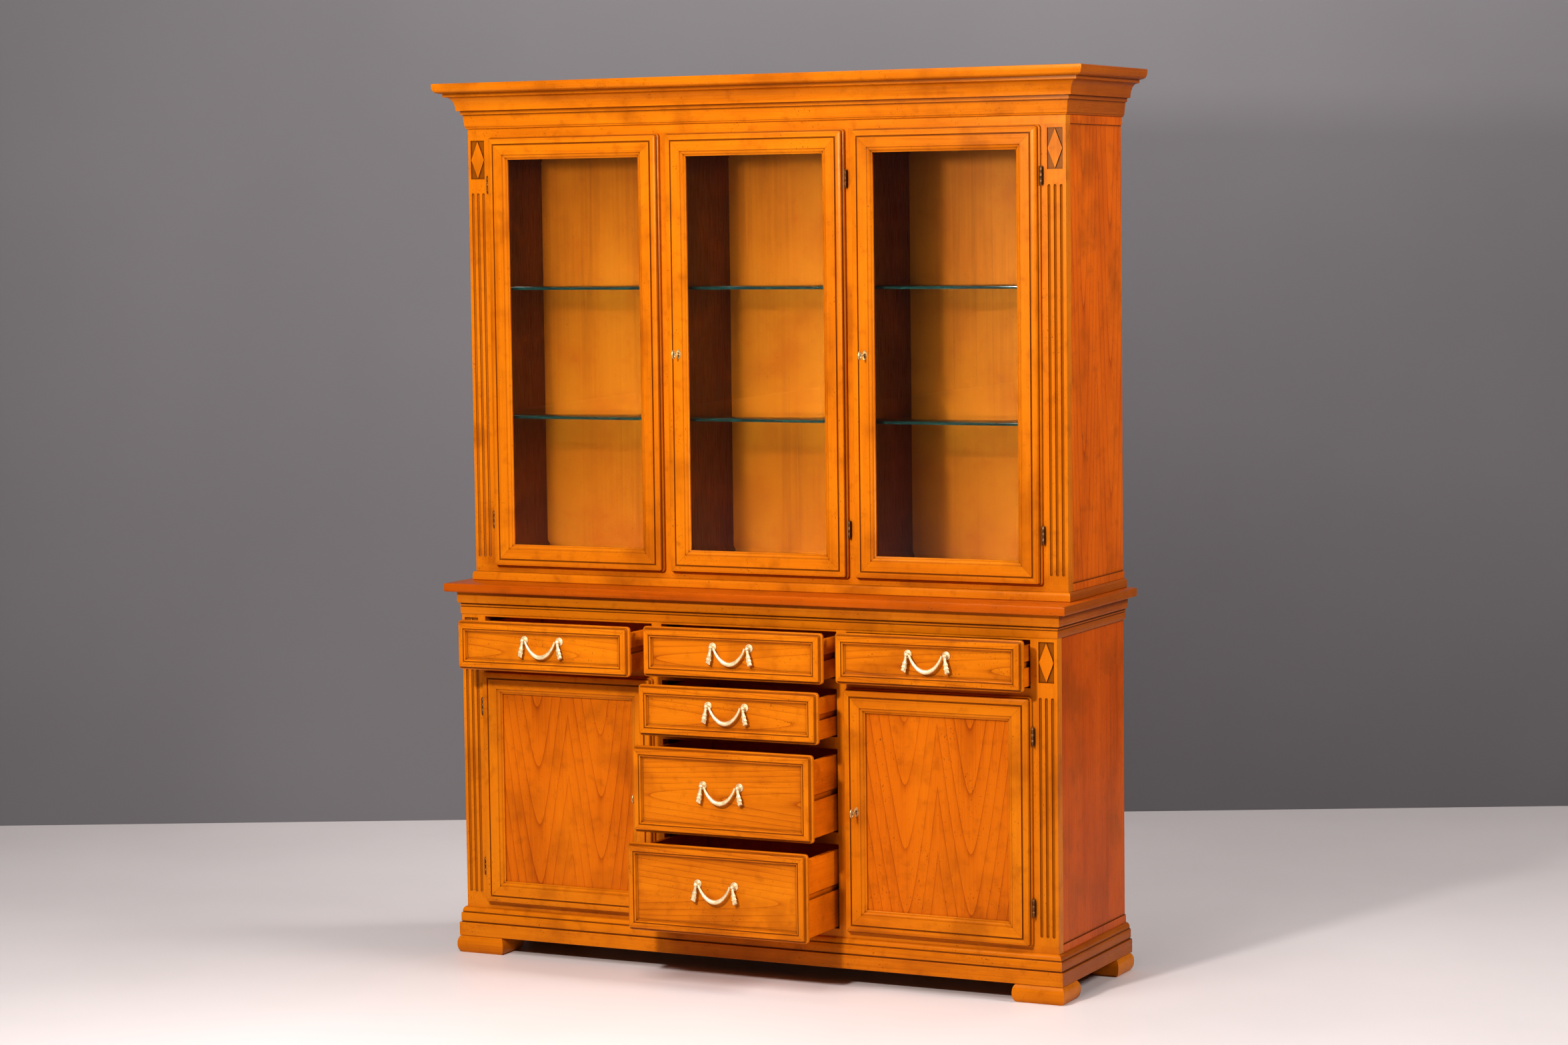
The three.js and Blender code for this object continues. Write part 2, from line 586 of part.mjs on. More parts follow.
function hutchFaceFrame() {
  const fronts = HUTCH_DOORS.map(({ front }) => front);
  const hinges = HUTCH_DOORS.flatMap(({ front, hinge }) => {
    return knuckles(front, hinge, HUTCH_DEPTH, HUTCH_KNUCKLE_INSET);
  });
  const carving = PILASTERS.flatMap((x) => pilasterCuts(x, -HUTCH_DEPTH, HUTCH_FLOOR, FRIEZE_BOTTOM));
  return frame(HUTCH_DEPTH, HUTCH_BOARD_TOP + GAP, HUTCH_TOP, fronts, hinges, carving);
}

function baseFaceFrame() {
  const fronts = [...LOWER_DOORS, ...DRAWERS].map(({ front }) => front);
  const hinges = LOWER_DOORS.flatMap(({ front, hinge }) => {
    return knuckles(front, hinge, BASE_DEPTH, LOWER_KNUCKLE_INSET);
  });
  const carving = PILASTERS.flatMap((x) => pilasterCuts(x, -BASE_DEPTH, PLINTH_TOP, BASE_BODY_TOP));
  return frame(BASE_DEPTH, FOOT_HEIGHT + GAP, SLAB_BOTTOM, fronts, hinges, carving);
}

const BASE_INNER_FRONT = -(BASE_DEPTH - FRAME_THICK) + GAP;
const BASE_INNER_LENGTH = BASE_DEPTH - FRAME_THICK - BACK_FRONT - 2 * GAP;

function basePartition(signX) {
  const x = signX * PARTITION_X;
  const wall = block(
    [x - PARTITION_THICK / 2, BASE_INNER_FRONT, FRONT_BOTTOM + OVERLAY + GAP],
    [x + PARTITION_THICK / 2, BASE_INNER_FRONT + BASE_INNER_LENGTH, SLAB_BOTTOM]
  );
  const beside = DRAWERS.filter(({ front }) => Math.abs(front.x - x) < COLUMN_PITCH);
  const runners = beside.flatMap(({ front }) => {
    const towards = Math.sign(front.x - x);
    return runner(x + towards * PARTITION_THICK / 2, front.x - towards * BOX_HALF, front.z);
  });
  return join(wall, ...runners);
}

function baseSide(signX) {
  const wall = side(signX, BASE_DEPTH, FOOT_HEIGHT + GAP, SLAB_BOTTOM, PLINTH_TOP, BASE_BODY_TOP);
  const { front } = DRAWERS.find((drawer) => Math.sign(drawer.front.x) === signX);
  return join(wall, ...runner(signX * SIDE_INNER, front.x + signX * BOX_HALF, front.z));
}

function backPanel(bottom, top) {
  return block([-SIDE_INNER + GAP, -BACK_FRONT, bottom], [SIDE_INNER - GAP, -BACK_INSET, top]);
}

function hutchPartition(signX) {
  const x = signX * PARTITION_X;
  return block(
    [x - PARTITION_THICK / 2, -(HUTCH_DEPTH - FRAME_THICK) + GAP, HUTCH_FLOOR + GAP],
    [x + PARTITION_THICK / 2, -BACK_FRONT - GAP, HUTCH_TOP]
  );
}

function baseBottomBoard() {
  const top = FRONT_BOTTOM + OVERLAY;
  return block(
    [-SIDE_INNER + GAP, -(BASE_DEPTH - FRAME_THICK) + GAP, top - BOARD_THICK],
    [SIDE_INNER - GAP, -BACK_FRONT - GAP, top]
  );
}

function glassShelf(column, level) {
  const wall = PARTITION_X - PARTITION_THICK / 2 - SHELF_CLEAR;
  const outer = SIDE_INNER - SHELF_CLEAR;
  const inner = PARTITION_X + PARTITION_THICK / 2 + SHELF_CLEAR;
  const [x0, x1] = { left: [-outer, -inner], centre: [-wall, wall], right: [inner, outer] }[column];
  const top = SLAB_TOP + SHELF_TOPS[level];
  return block(
    [x0, -(HUTCH_DEPTH - FRAME_THICK - SHELF_SETBACK), top - SHELF_THICK],
    [x1, -BACK_FRONT - SHELF_CLEAR, top]
  );
}

// ---------- doors ----------
// The section of a door member, once round.
function doorSection() {
  const rebate = CLOSED_GAP + REBATE_DEPTH;
  return [
    [0, CLOSED_GAP],
    ...shifted(DOOR_LIP, 0, LIP_PROUD),
    ...shifted(DOOR_FACE, 0, FRONT_PROUD),
    ...shifted(DOOR_INNER, DOOR_MEMBER, FRONT_PROUD),
    [DOOR_MEMBER, rebate],
    [DOOR_MEMBER - REBATE_WIDTH, rebate],
    [DOOR_MEMBER - REBATE_WIDTH, CLOSED_GAP]
  ];
}

function keyholeCutter(x, depth, z) {
  const radius = KEY_SHAFT_RADIUS + KEYHOLE_CLEAR;
  const hole = new THREE.CylinderGeometry(radius, radius, KEYHOLE_DEPTH * 2, ROUND_SIDES);
  hole.translate(x, -(depth + FRONT_PROUD), z);
  return hole;
}

function doorFrame(front, depth, keyX) {
  const rings = sectionRings(front, doorSection(), -depth);
  const body = closedMesh(rings.flat(), bridge(rings, true));
  return keyX === undefined ? body : cut(body, keyholeCutter(keyX, depth, front.z));
}

const rebateEdge = DOOR_MEMBER - REBATE_WIDTH + 2 * GAP;
const rebateSeat = CLOSED_GAP + REBATE_DEPTH - GAP;

// A flat panel that lies in the rebate.
function flatPanel(front, depth) {
  const section = [[rebateEdge, rebateSeat - PANEL_THICK], [rebateEdge, rebateSeat - PANE_EASE[0]]];
  const rings = sectionRings(front, section, -depth);
  return loft(rings, elevation(rings[0]));
}

// A pane that lies in the rebate, its visible border bevelled up to the flat.
function bevelledPane(front, depth) {
  const section = [
    [rebateEdge, rebateSeat - GLASS_THICK],
    [rebateEdge, rebateSeat - PANE_EASE[0]],
    [DOOR_MEMBER - PANE_EASE[0], rebateSeat - PANE_EASE[1]],
    [DOOR_MEMBER + GLASS_BEVEL, rebateSeat + GLASS_RISE]
  ];
  const rings = sectionRings(front, section, -depth);
  return loft(rings, elevation(rings[0]));
}

// ---------- drawers ----------
function drawerFront({ front, open }) {
  const plane = -(BASE_DEPTH + open);
  const section = [
    [0, CLOSED_GAP],
    ...shifted(DRAWER_LIP, 0, LIP_PROUD),
    ...shifted(DRAWER_FACE, 0, FRONT_PROUD),
    ...shifted(DRAWER_GROOVE, DRAWER_MEMBER, FRONT_PROUD),
    ...shifted(DRAWER_INNER, DRAWER_MEMBER, PANEL_PROUD)
  ];
  const rings = sectionRings(front, section, plane);
  const posts = [-1, 1].map((sign) => {
    const post = new THREE.CylinderGeometry(POST_RADIUS, POST_RADIUS, BALL_OUT + POST_ROOT, ROUND_SIDES);
    post.translate(
      front.x + sign * HANDLE_SPACING / 2,
      plane - PANEL_PROUD - (BALL_OUT - POST_ROOT) / 2,
      front.z + HANDLE_RISE
    );
    return post;
  });
  return join(loft(rings, elevation(rings[0])), ...posts);
}

function drawerBox({ front, open }) {
  const start = -(BASE_DEPTH + open) + GAP - CLOSED_GAP;
  const end = start + BOX_LENGTH;
  const low = front.z - front.height / 2 + BOX_LOW;
  const high = front.z + front.height / 2 - BOX_HIGH;
  const outer = block([front.x - BOX_HALF, start, low], [front.x + BOX_HALF, end, high]);
  const hollow = block(
    [front.x - BOX_HALF + BOX_WALL, start + BOX_WALL, low + BOX_BOTTOM],
    [front.x + BOX_HALF - BOX_WALL, end - BOX_WALL, high + BITE]
  );
  const slot = RUNNER_HEIGHT / 2 + GAP;
  const deep = RUNNER_DEPTH + 2 * GAP;
  const grooves = [-1, 1].map((sign) => {
    const across = [front.x + sign * (BOX_HALF - deep), front.x + sign * (BOX_HALF + BITE)];
    return block(
      [Math.min(...across), start + BOX_WALL, front.z - slot],
      [Math.max(...across), end + BITE, front.z + slot]
    );
  });
  return cut(outer, hollow, ...grooves);
}

// ---------- handles and keys ----------
// The bail hangs in a swag between the two balls, thick in the middle and blunt at its ends.
function bail({ front, open }) {
  const y = -(BASE_DEPTH + open + BAIL_PROUD);
  const z = front.z + HANDLE_RISE;
  const turns = counts(ROUND_SIDES).map((i) => (i / ROUND_SIDES) * 2 * Math.PI);
  const line = (t) => new THREE.Vector2(BAIL_HALF * t, -BAIL_DROP * (1 - t * t) ** BAIL_SAG);
  const rings = counts(BAIL_STEPS + 1).map((k) => {
    const t = (k / BAIL_STEPS) * 2 - 1;
    const middle = line(t);
    const run = line(Math.min(1, t + BAIL_STRIDE)).sub(line(Math.max(-1, t - BAIL_STRIDE))).normalize();
    const thick = BAIL_END_THICK + (BAIL_THICK - BAIL_END_THICK) * (1 - Math.abs(t) ** BAIL_SWELL);
    return turns.map((angle) => {
      const out = thick / 2 * Math.cos(angle);
      return [
        front.x + middle.x - run.y * out,
        y - thick / 2 * Math.sin(angle),
        z + middle.y + run.x * out
      ];
    });
  });
  return loft(rings, turns.map((angle) => new THREE.Vector2(Math.cos(angle), Math.sin(angle))));
}

function key(x, depth, z) {
  const face = depth + FRONT_PROUD;
  const [halfDeep, halfTall] = KEY_BOW_HALF;
  const shaftEnd = KEY_BOW_OUT - halfDeep + KEY_BOW_WIRE;
  const length = KEY_INSERT + shaftEnd;
  const shaft = new THREE.CylinderGeometry(KEY_SHAFT_RADIUS, KEY_SHAFT_RADIUS, length, ROUND_SIDES);
  shaft.translate(x, -(face + (shaftEnd - KEY_INSERT) / 2), z);
  const thin = KEY_BOW_WIRE / halfDeep;
  const bow = new THREE.TorusGeometry(1, thin, KEY_BOW_FACETS, 2 * KEY_BOW_FACETS);
  bow.rotateY(Math.PI / 2);
  bow.scale(KEY_BOW_WIRE / thin, halfDeep - KEY_BOW_WIRE, halfTall - KEY_BOW_WIRE);
  bow.translate(x, -(face + KEY_BOW_OUT), z);
  return join(shaft, bow);
}

// ---------- assembly ----------
const cabinet = new THREE.Group();
cabinet.name = 'china_cabinet';

function addPiece(name, geometry, material) {
  const piece = new THREE.Mesh(geometry, material());
  piece.name = name;
  cabinet.add(piece);
}

addPiece('crown_cornice', crownCornice(), cherry);
addPiece('hutch_face_frame', hutchFaceFrame(), cherry);
addPiece('hutch_base', hutchBase(), cherry);
addPiece('hutch_back_panel', backPanel(HUTCH_BOARD_TOP + GAP, HUTCH_TOP), innerWood);
addPiece('counter_top', counterTop(), cherry);
addPiece('counter_moulding', counterMoulding(), cherry);
addPiece('plinth_moulding', plinthMoulding(), cherry);
addPiece('base_face_frame', baseFaceFrame(), cherry);
addPiece('base_bottom_board', baseBottomBoard(), innerWood);
addPiece('base_back_panel', backPanel(FOOT_HEIGHT + GAP, SLAB_BOTTOM), innerWood);

for (const [name, signX] of Object.entries(SIDES)) {
  const hutchSide = side(signX, HUTCH_DEPTH, HUTCH_BOARD_TOP + GAP, HUTCH_TOP, HUTCH_FLOOR, FRIEZE_BOTTOM);
  addPiece(`hutch_side_${name}`, hutchSide, sideCherry);
  addPiece(`hutch_partition_${name}`, hutchPartition(signX), innerWood);
  addPiece(`base_side_${name}`, baseSide(signX), sideCherry);
  addPiece(`base_partition_${name}`, basePartition(signX), innerWood);
  addPiece(`front_foot_${name}`, foot(signX, false), cherry);
  addPiece(`back_foot_${name}`, foot(signX, true), cherry);
}

for (const column of Object.keys(COLUMNS)) {
  addPiece(`lower_glass_shelf_${column}`, glassShelf(column, 0), shelfGlass);
  addPiece(`upper_glass_shelf_${column}`, glassShelf(column, 1), shelfGlass);
}

const keyPlace = ({ x }, hinge) => x - hinge * (FRONT_WIDTH / 2 - KEY_INSET);

for (const { column, hinge, front } of HUTCH_DOORS) {
  const keyX = column === 'left' ? undefined : keyPlace(front, hinge);
  addPiece(`hutch_door_frame_${column}`, doorFrame(front, HUTCH_DEPTH, keyX), cherry);
  addPiece(`hutch_door_glass_${column}`, bevelledPane(front, HUTCH_DEPTH), clearGlass);
  if (keyX !== undefined) addPiece(`hutch_key_${column}`, key(keyX, HUTCH_DEPTH, front.z), agedBrass);
}

for (const { column, hinge, front } of LOWER_DOORS) {
  const keyX = keyPlace(front, hinge);
  addPiece(`lower_door_frame_${column}`, doorFrame(front, BASE_DEPTH, keyX), cherry);
  addPiece(`lower_door_panel_${column}`, flatPanel(front, BASE_DEPTH), figured);
  addPiece(`lower_key_${column}`, key(keyX, BASE_DEPTH, front.z), agedBrass);
}

for (const drawer of DRAWERS) {
  addPiece(`drawer_front_${drawer.name}`, drawerFront(drawer), cherry);
  addPiece(`drawer_box_${drawer.name}`, drawerBox(drawer), drawerWood);
  addPiece(`drawer_bail_${drawer.name}`, bail(drawer), satinBrass);
}

cabinet.position.y = REST_REACH / 2;

export default cabinet;
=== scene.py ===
"""China cabinet with glass doors: the looks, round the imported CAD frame. Metres, +Z up, front towards -Y."""
import json
import math

import bpy
from mathutils import Matrix, Vector


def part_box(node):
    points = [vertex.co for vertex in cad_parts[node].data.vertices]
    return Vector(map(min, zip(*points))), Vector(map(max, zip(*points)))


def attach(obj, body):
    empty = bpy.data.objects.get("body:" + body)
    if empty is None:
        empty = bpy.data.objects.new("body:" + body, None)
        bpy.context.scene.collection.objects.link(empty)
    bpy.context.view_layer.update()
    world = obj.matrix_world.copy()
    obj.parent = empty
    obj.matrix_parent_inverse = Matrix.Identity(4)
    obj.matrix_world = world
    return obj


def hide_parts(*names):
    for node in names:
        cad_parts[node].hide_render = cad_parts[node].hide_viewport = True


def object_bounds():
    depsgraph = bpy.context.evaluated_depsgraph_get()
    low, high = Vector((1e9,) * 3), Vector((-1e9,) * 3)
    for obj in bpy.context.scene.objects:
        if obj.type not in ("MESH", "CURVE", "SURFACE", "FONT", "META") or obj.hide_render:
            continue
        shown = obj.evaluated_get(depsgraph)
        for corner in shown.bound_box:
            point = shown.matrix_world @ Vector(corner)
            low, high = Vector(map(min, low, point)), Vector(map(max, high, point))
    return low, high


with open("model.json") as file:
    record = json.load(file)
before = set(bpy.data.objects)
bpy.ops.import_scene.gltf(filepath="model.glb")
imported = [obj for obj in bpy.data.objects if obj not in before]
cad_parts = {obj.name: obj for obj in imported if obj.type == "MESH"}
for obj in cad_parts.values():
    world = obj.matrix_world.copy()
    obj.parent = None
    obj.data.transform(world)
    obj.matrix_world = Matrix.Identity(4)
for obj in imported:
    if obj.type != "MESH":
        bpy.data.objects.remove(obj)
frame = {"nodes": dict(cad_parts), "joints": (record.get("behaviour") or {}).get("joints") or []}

CAD_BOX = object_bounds()
NODES = frame["nodes"]
JOINTS = {joint["name"]: joint for joint in frame["joints"]}
MM = 0.001

# ---------- places that come from the frame ----------
LAP = 4 * MM                # a front laps over its opening by this much on every side
FRONT_CLEAR = 1 * MM        # from the back of a door to the face frame behind it
FRIEZE_HEIGHT = 19 * MM

DOOR_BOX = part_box("lower_door_frame_right")
BACK_Y = CAD_BOX[1].y
BODY_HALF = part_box("hutch_face_frame")[1].x
COLUMN_PITCH = (DOOR_BOX[0].x + DOOR_BOX[1].x) / 2
OPENING_HALF = (DOOR_BOX[1].x - DOOR_BOX[0].x) / 2 - LAP
HUTCH_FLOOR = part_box("hutch_base")[1].z
FRIEZE_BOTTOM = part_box("hutch_face_frame")[1].z - FRIEZE_HEIGHT
BASE_BODY_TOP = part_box("counter_moulding")[0].z
LOWER_OPENING = DOOR_BOX[0].z + LAP
HUTCH_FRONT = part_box("hutch_door_frame_right")[1].y + FRONT_CLEAR
MOULDED_FRONT = DOOR_BOX[1].y + FRONT_CLEAR
DRAWER_FRONTS = [name for name in sorted(NODES) if name.startswith("drawer_front_")]
DRAWERS = [name.removeprefix("drawer_front_") for name in DRAWER_FRONTS]
DOORS = ["hutch_door_left", "hutch_door_centre", "hutch_door_right", "lower_door_left", "lower_door_right"]
KEYS = ["hutch_key_centre", "hutch_key_right", "lower_key_left", "lower_key_right"]
COLUMNS = ("left", "centre", "right")
SHELVES = [f"{level}_glass_shelf_{column}" for level in ("lower", "upper") for column in COLUMNS]


def middle(node):
    low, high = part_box(node)
    return (low + high) / 2


# ---------- node graphs ----------
class Graph:
    """A material's node tree, with short calls for the nodes that the materials share."""

    def __init__(self, name):
        self.material = bpy.data.materials.new(name)
        self.material.use_nodes = True
        self.tree = self.material.node_tree
        self.tree.nodes.clear()
        self.position = self.add("ShaderNodeTexCoord").outputs["Object"]

    def add(self, kind, inputs=None, **settings):
        node = self.tree.nodes.new(kind)
        for key, value in settings.items():
            setattr(node, key, value)
        for key, value in (inputs or {}).items():
            if isinstance(value, bpy.types.NodeSocket):
                self.tree.links.new(value, node.inputs[key])
            else:
                node.inputs[key].default_value = value
        return node

    def math(self, operation, a, b=0.0, clamp=False):
        return self.add("ShaderNodeMath", {0: a, 1: b}, operation=operation, use_clamp=clamp).outputs[0]

    def plus(self, a, b):
        return self.math("ADD", a, b)

    def minus(self, a, b):
        return self.math("SUBTRACT", a, b)

    def times(self, a, b):
        return self.math("MULTIPLY", a, b)

    def size(self, a):
        return self.math("ABSOLUTE", a)

    def above(self, a, b):
        return self.math("GREATER_THAN", a, b)

    def below(self, a, b):
        return self.math("LESS_THAN", a, b)

    def lesser(self, a, b):
        return self.math("MINIMUM", a, b)

    def greater(self, a, b):
        return self.math("MAXIMUM", a, b)

    def range(self, value, limits, to=(0.0, 1.0)):
        inputs = {
            "Value": value, "From Min": limits[0], "From Max": limits[1], "To Min": to[0], "To Max": to[1],
        }
        return self.add("ShaderNodeMapRange", inputs, interpolation_type="SMOOTHSTEP").outputs[0]

    def mix(self, factor, a, b):
        return self.add("ShaderNodeMix", {0: factor, 6: a, 7: b}, data_type="RGBA").outputs[2]

    def mix_value(self, factor, a, b):
        return self.add("ShaderNodeMix", {0: factor, 2: a, 3: b}).outputs[0]

    def noise(self, rates, offset=(0, 0, 0), detail=2.0, roughness=0.5):
        """Noise with its own number of waves per metre along each axis."""
        place = {"Vector": self.position, "Scale": rates, "Location": offset}
        mapped = self.add("ShaderNodeMapping", place).outputs[0]
        inputs = {"Vector": mapped, "Scale": 1.0, "Detail": detail, "Roughness": roughness}
        return self.add("ShaderNodeTexNoise", inputs).outputs[0]

    def parts(self):
        return self.add("ShaderNodeSeparateXYZ", {0: self.position}).outputs

    def hollow(self, reach, samples):
        """1 on open ground, falling towards 0 in corners and grooves narrower than the reach."""
        node = self.add("ShaderNodeAmbientOcclusion", {"Distance": reach}, samples=samples, only_local=True)
        return node.outputs["AO"]

    def bump(self, height, distance, strength):
        inputs = {"Height": height, "Distance": distance, "Strength": strength}
        return self.add("ShaderNodeBump", inputs).outputs[0]

    def finish(self, shader):
        output = self.add("ShaderNodeOutputMaterial")
        self.tree.links.new(shader.outputs[0], output.inputs[0])
        return self.material

    def principled(self, inputs):
        return self.finish(self.add("ShaderNodeBsdfPrincipled", inputs))

    def blend(self, factor, first, second):
        return self.add("ShaderNodeMixShader", {0: factor, 1: first.outputs[0], 2: second.outputs[0]})


# ---------- wood colours ----------
def tones(light, mid, dark):
    """The linear colours of one wood, from its light streaks to its dark ones."""
    return {"light": (*light, 1), "mid": (*mid, 1), "dark": (*dark, 1)}


CHERRY = tones((0.66, 0.212, 0.0050), (0.55, 0.152, 0.0030), (0.32, 0.068, 0.0016))
# A darker copy of the cherry: painted shade on the returns of the mouldings.
SHADED_RETURN_CHERRY = tones((0.42, 0.108, 0.0026), (0.34, 0.076, 0.0018), (0.20, 0.036, 0.0010))
SLAB_CHERRY = tones((0.52, 0.118, 0.0024), (0.41, 0.078, 0.0016), (0.25, 0.040, 0.0010))
PANEL_CHERRY = tones((0.62, 0.168, 0.0032), (0.53, 0.124, 0.0022), (0.31, 0.056, 0.0012))
BOX_CHERRY = tones((0.78, 0.220, 0.0036), (0.66, 0.160, 0.0026), (0.44, 0.090, 0.0016))
SIDE_CHERRY = tones((0.74, 0.162, 0.0020), (0.58, 0.110, 0.0014), (0.35, 0.053, 0.0009))
BASE_SIDE_CHERRY = tones((0.62, 0.118, 0.0014), (0.48, 0.078, 0.0010), (0.27, 0.038, 0.0007))
INNER_CHERRY = tones((0.35, 0.116, 0.0058), (0.31, 0.092, 0.0036), (0.19, 0.045, 0.0020))
SHADED_CHERRY = tones((0.14, 0.028, 0.0010), (0.10, 0.018, 0.0007), (0.06, 0.010, 0.0004))
# Dark of the glaze in mitre joints and pits; also painted shade in grooves, corners and cut-back ground.
GLAZE_AND_SHADE = (0.032, 0.0078, 0.0014, 1)
# Colour of real stains and smudges; also painted shade near corners and mouldings.
STAIN_AND_SHADE = (0.24, 0.050, 0.0020, 1)
LACQUER_TINT = (1.0, 0.72, 0.42, 1)
DARK_STOP = 0.08
MIDDLE_STOP = 0.5
LIGHT_STOP = 0.92

# ---------- wood grain: rates are waves per metre, (across the grain, along it) ----------
AXIS_NUMBER = {"X": 0, "Y": 1, "Z": 2}
SEED_SHIFT = (1.37, 0.71, 2.13)
SECOND_GRAIN_SEED = 3.7     # sets the crosswise grain apart from the main one
WANDER_RATE = (6, 0.55)
PLAIN_RATE = (14, 0.12)
BROAD_RATE = (9, 2.6)
STREAK_RATE = (170, 3.2)
FIBRE_RATE = (900, 16)
PLAIN_RINGS = 6
FIGURE_WANDER = 2.0
ARCH_TIP = 20 * MM
LATE_SHARPNESS = 3
LINE_SHARPNESS = 16
LINE_FADE = (1.0, 0.985)
PLAIN_DEPTH = (0.05, 0.10)  # how much the late wood and the ring's line darken the tone
FIGURED_DEPTH = (0.13, 0.34)
BROAD_DETAIL = 4
BROAD_WEIGHT = 0.88
STREAK_WEIGHT = 0.30
FIBRE_WEIGHT = 0.16
TONE_SHIFT = 0.13


def grain(graph, axis, seed, figure=None):
    """Tone from 0 to 1, and fine relief, of wood whose grain runs along one axis. A figure of cathedral
    arches is (axis across, places of their middle lines, rings per metre up the middle, and outwards)."""
    offset = tuple(seed * shift for shift in SEED_SHIFT)

    def streaky(rate, detail=2):
        across, along = rate
        rates = [along if number == AXIS_NUMBER[axis] else across for number in range(3)]
        return graph.noise(rates, offset, detail)

    if figure:
        across, places, rise, spread = figure
        here = graph.parts()
        nearest = None
        for place in places:
            distance = graph.size(graph.minus(here[AXIS_NUMBER[across]], place))
            nearest = distance if nearest is None else graph.lesser(nearest, distance)
        reach = graph.math("SQRT", graph.plus(graph.times(nearest, nearest), ARCH_TIP * ARCH_TIP))
        bowl = graph.times(graph.minus(reach, ARCH_TIP), spread)
        run = graph.times(here[AXIS_NUMBER[axis]], rise)
        phase = graph.plus(graph.times(streaky(WANDER_RATE), FIGURE_WANDER), graph.minus(run, bowl))
    else:
        phase = graph.times(streaky(PLAIN_RATE), PLAIN_RINGS)
    late_depth, line_depth = FIGURED_DEPTH if figure else PLAIN_DEPTH
    ring = graph.math("FRACT", phase)
    late = graph.math("POWER", ring, LATE_SHARPNESS)
    line = graph.times(graph.math("POWER", ring, LINE_SHARPNESS), graph.range(ring, LINE_FADE))
    fibre = streaky(FIBRE_RATE)
    broad = graph.times(streaky(BROAD_RATE, BROAD_DETAIL), BROAD_WEIGHT)
    tone = graph.plus(broad, graph.times(streaky(STREAK_RATE), STREAK_WEIGHT))
    tone = graph.minus(tone, graph.times(late, late_depth))
    tone = graph.minus(tone, graph.times(line, line_depth))
    tone = graph.plus(tone, graph.times(fibre, FIBRE_WEIGHT))
    return graph.math("SUBTRACT", tone, TONE_SHIFT, clamp=True), fibre


# ---------- age: (waves per metre, detail, range of the noise that shows, strength) ----------
AGE_SHIFT = (0.9, 1.9, 0.3)
CLOUDY_STAINS = (7, 4, (0.48, 0.74), 0.50)
SMUDGES = (34, 3, (0.52, 0.80), 0.34)
FLECK_RATE = 240
FLECK_ROUGHNESS = 0.6
FLECK_RANGE = (0.655, 0.70)
FLECK_FIELD_RATE = 11
FLECK_FIELD_RANGE = (0.42, 0.62)
FLECK_STRENGTH = 0.62


def aging(graph, colour, seed):
    """Cloudy stains, smudges and dark pits on top of a wood colour."""
    offset = tuple(seed * shift for shift in AGE_SHIFT)
    for rate, detail, shown, strength in (CLOUDY_STAINS, SMUDGES):
        amount = graph.range(graph.noise((rate,) * 3, offset, detail), shown)
        colour = graph.mix(graph.times(amount, strength), colour, STAIN_AND_SHADE)
    flecks = graph.noise((FLECK_RATE,) * 3, offset, roughness=FLECK_ROUGHNESS)
    field = graph.noise((FLECK_FIELD_RATE,) * 3, offset)
    pits = graph.times(graph.range(flecks, FLECK_RANGE), graph.range(field, FLECK_FIELD_RANGE))
    return graph.mix(graph.times(pits, FLECK_STRENGTH), colour, GLAZE_AND_SHADE), pits


# ---------- wood ----------
# Strength of the painted shade that ambient occlusion puts in grooves and corners, partly glaze that gathers
# there.
FULL_GLAZE_AND_SHADE = 0.95
SATIN_GLOSS = 0.27
LACQUER_SHINE = 0.12
MITRE_DARK = 0.55
GROOVE_SHADE_REACH = 6 * MM
GROOVE_SHADE_SAMPLES = 8
GROOVE_SHADE_RANGE = (0.56, 0.97)
# A wider ambient occlusion paints soft shade near corners and mouldings, partly grime.
GRIME_AND_SHADE_REACH = 22 * MM
GRIME_AND_SHADE_SAMPLES = 6
GRIME_AND_SHADE_RANGE = (0.55, 0.97)
GRIME_AND_SHADE_SHARE = 0.75
FIBRE_RELIEF = 0.5
WOOD_RELIEF = 0.12 * MM
WOOD_BUMP = 0.6
RELIEF_RANGE = (0.2, 0.8)
SMOOTHER = 0.05
ROUGHER = 0.10


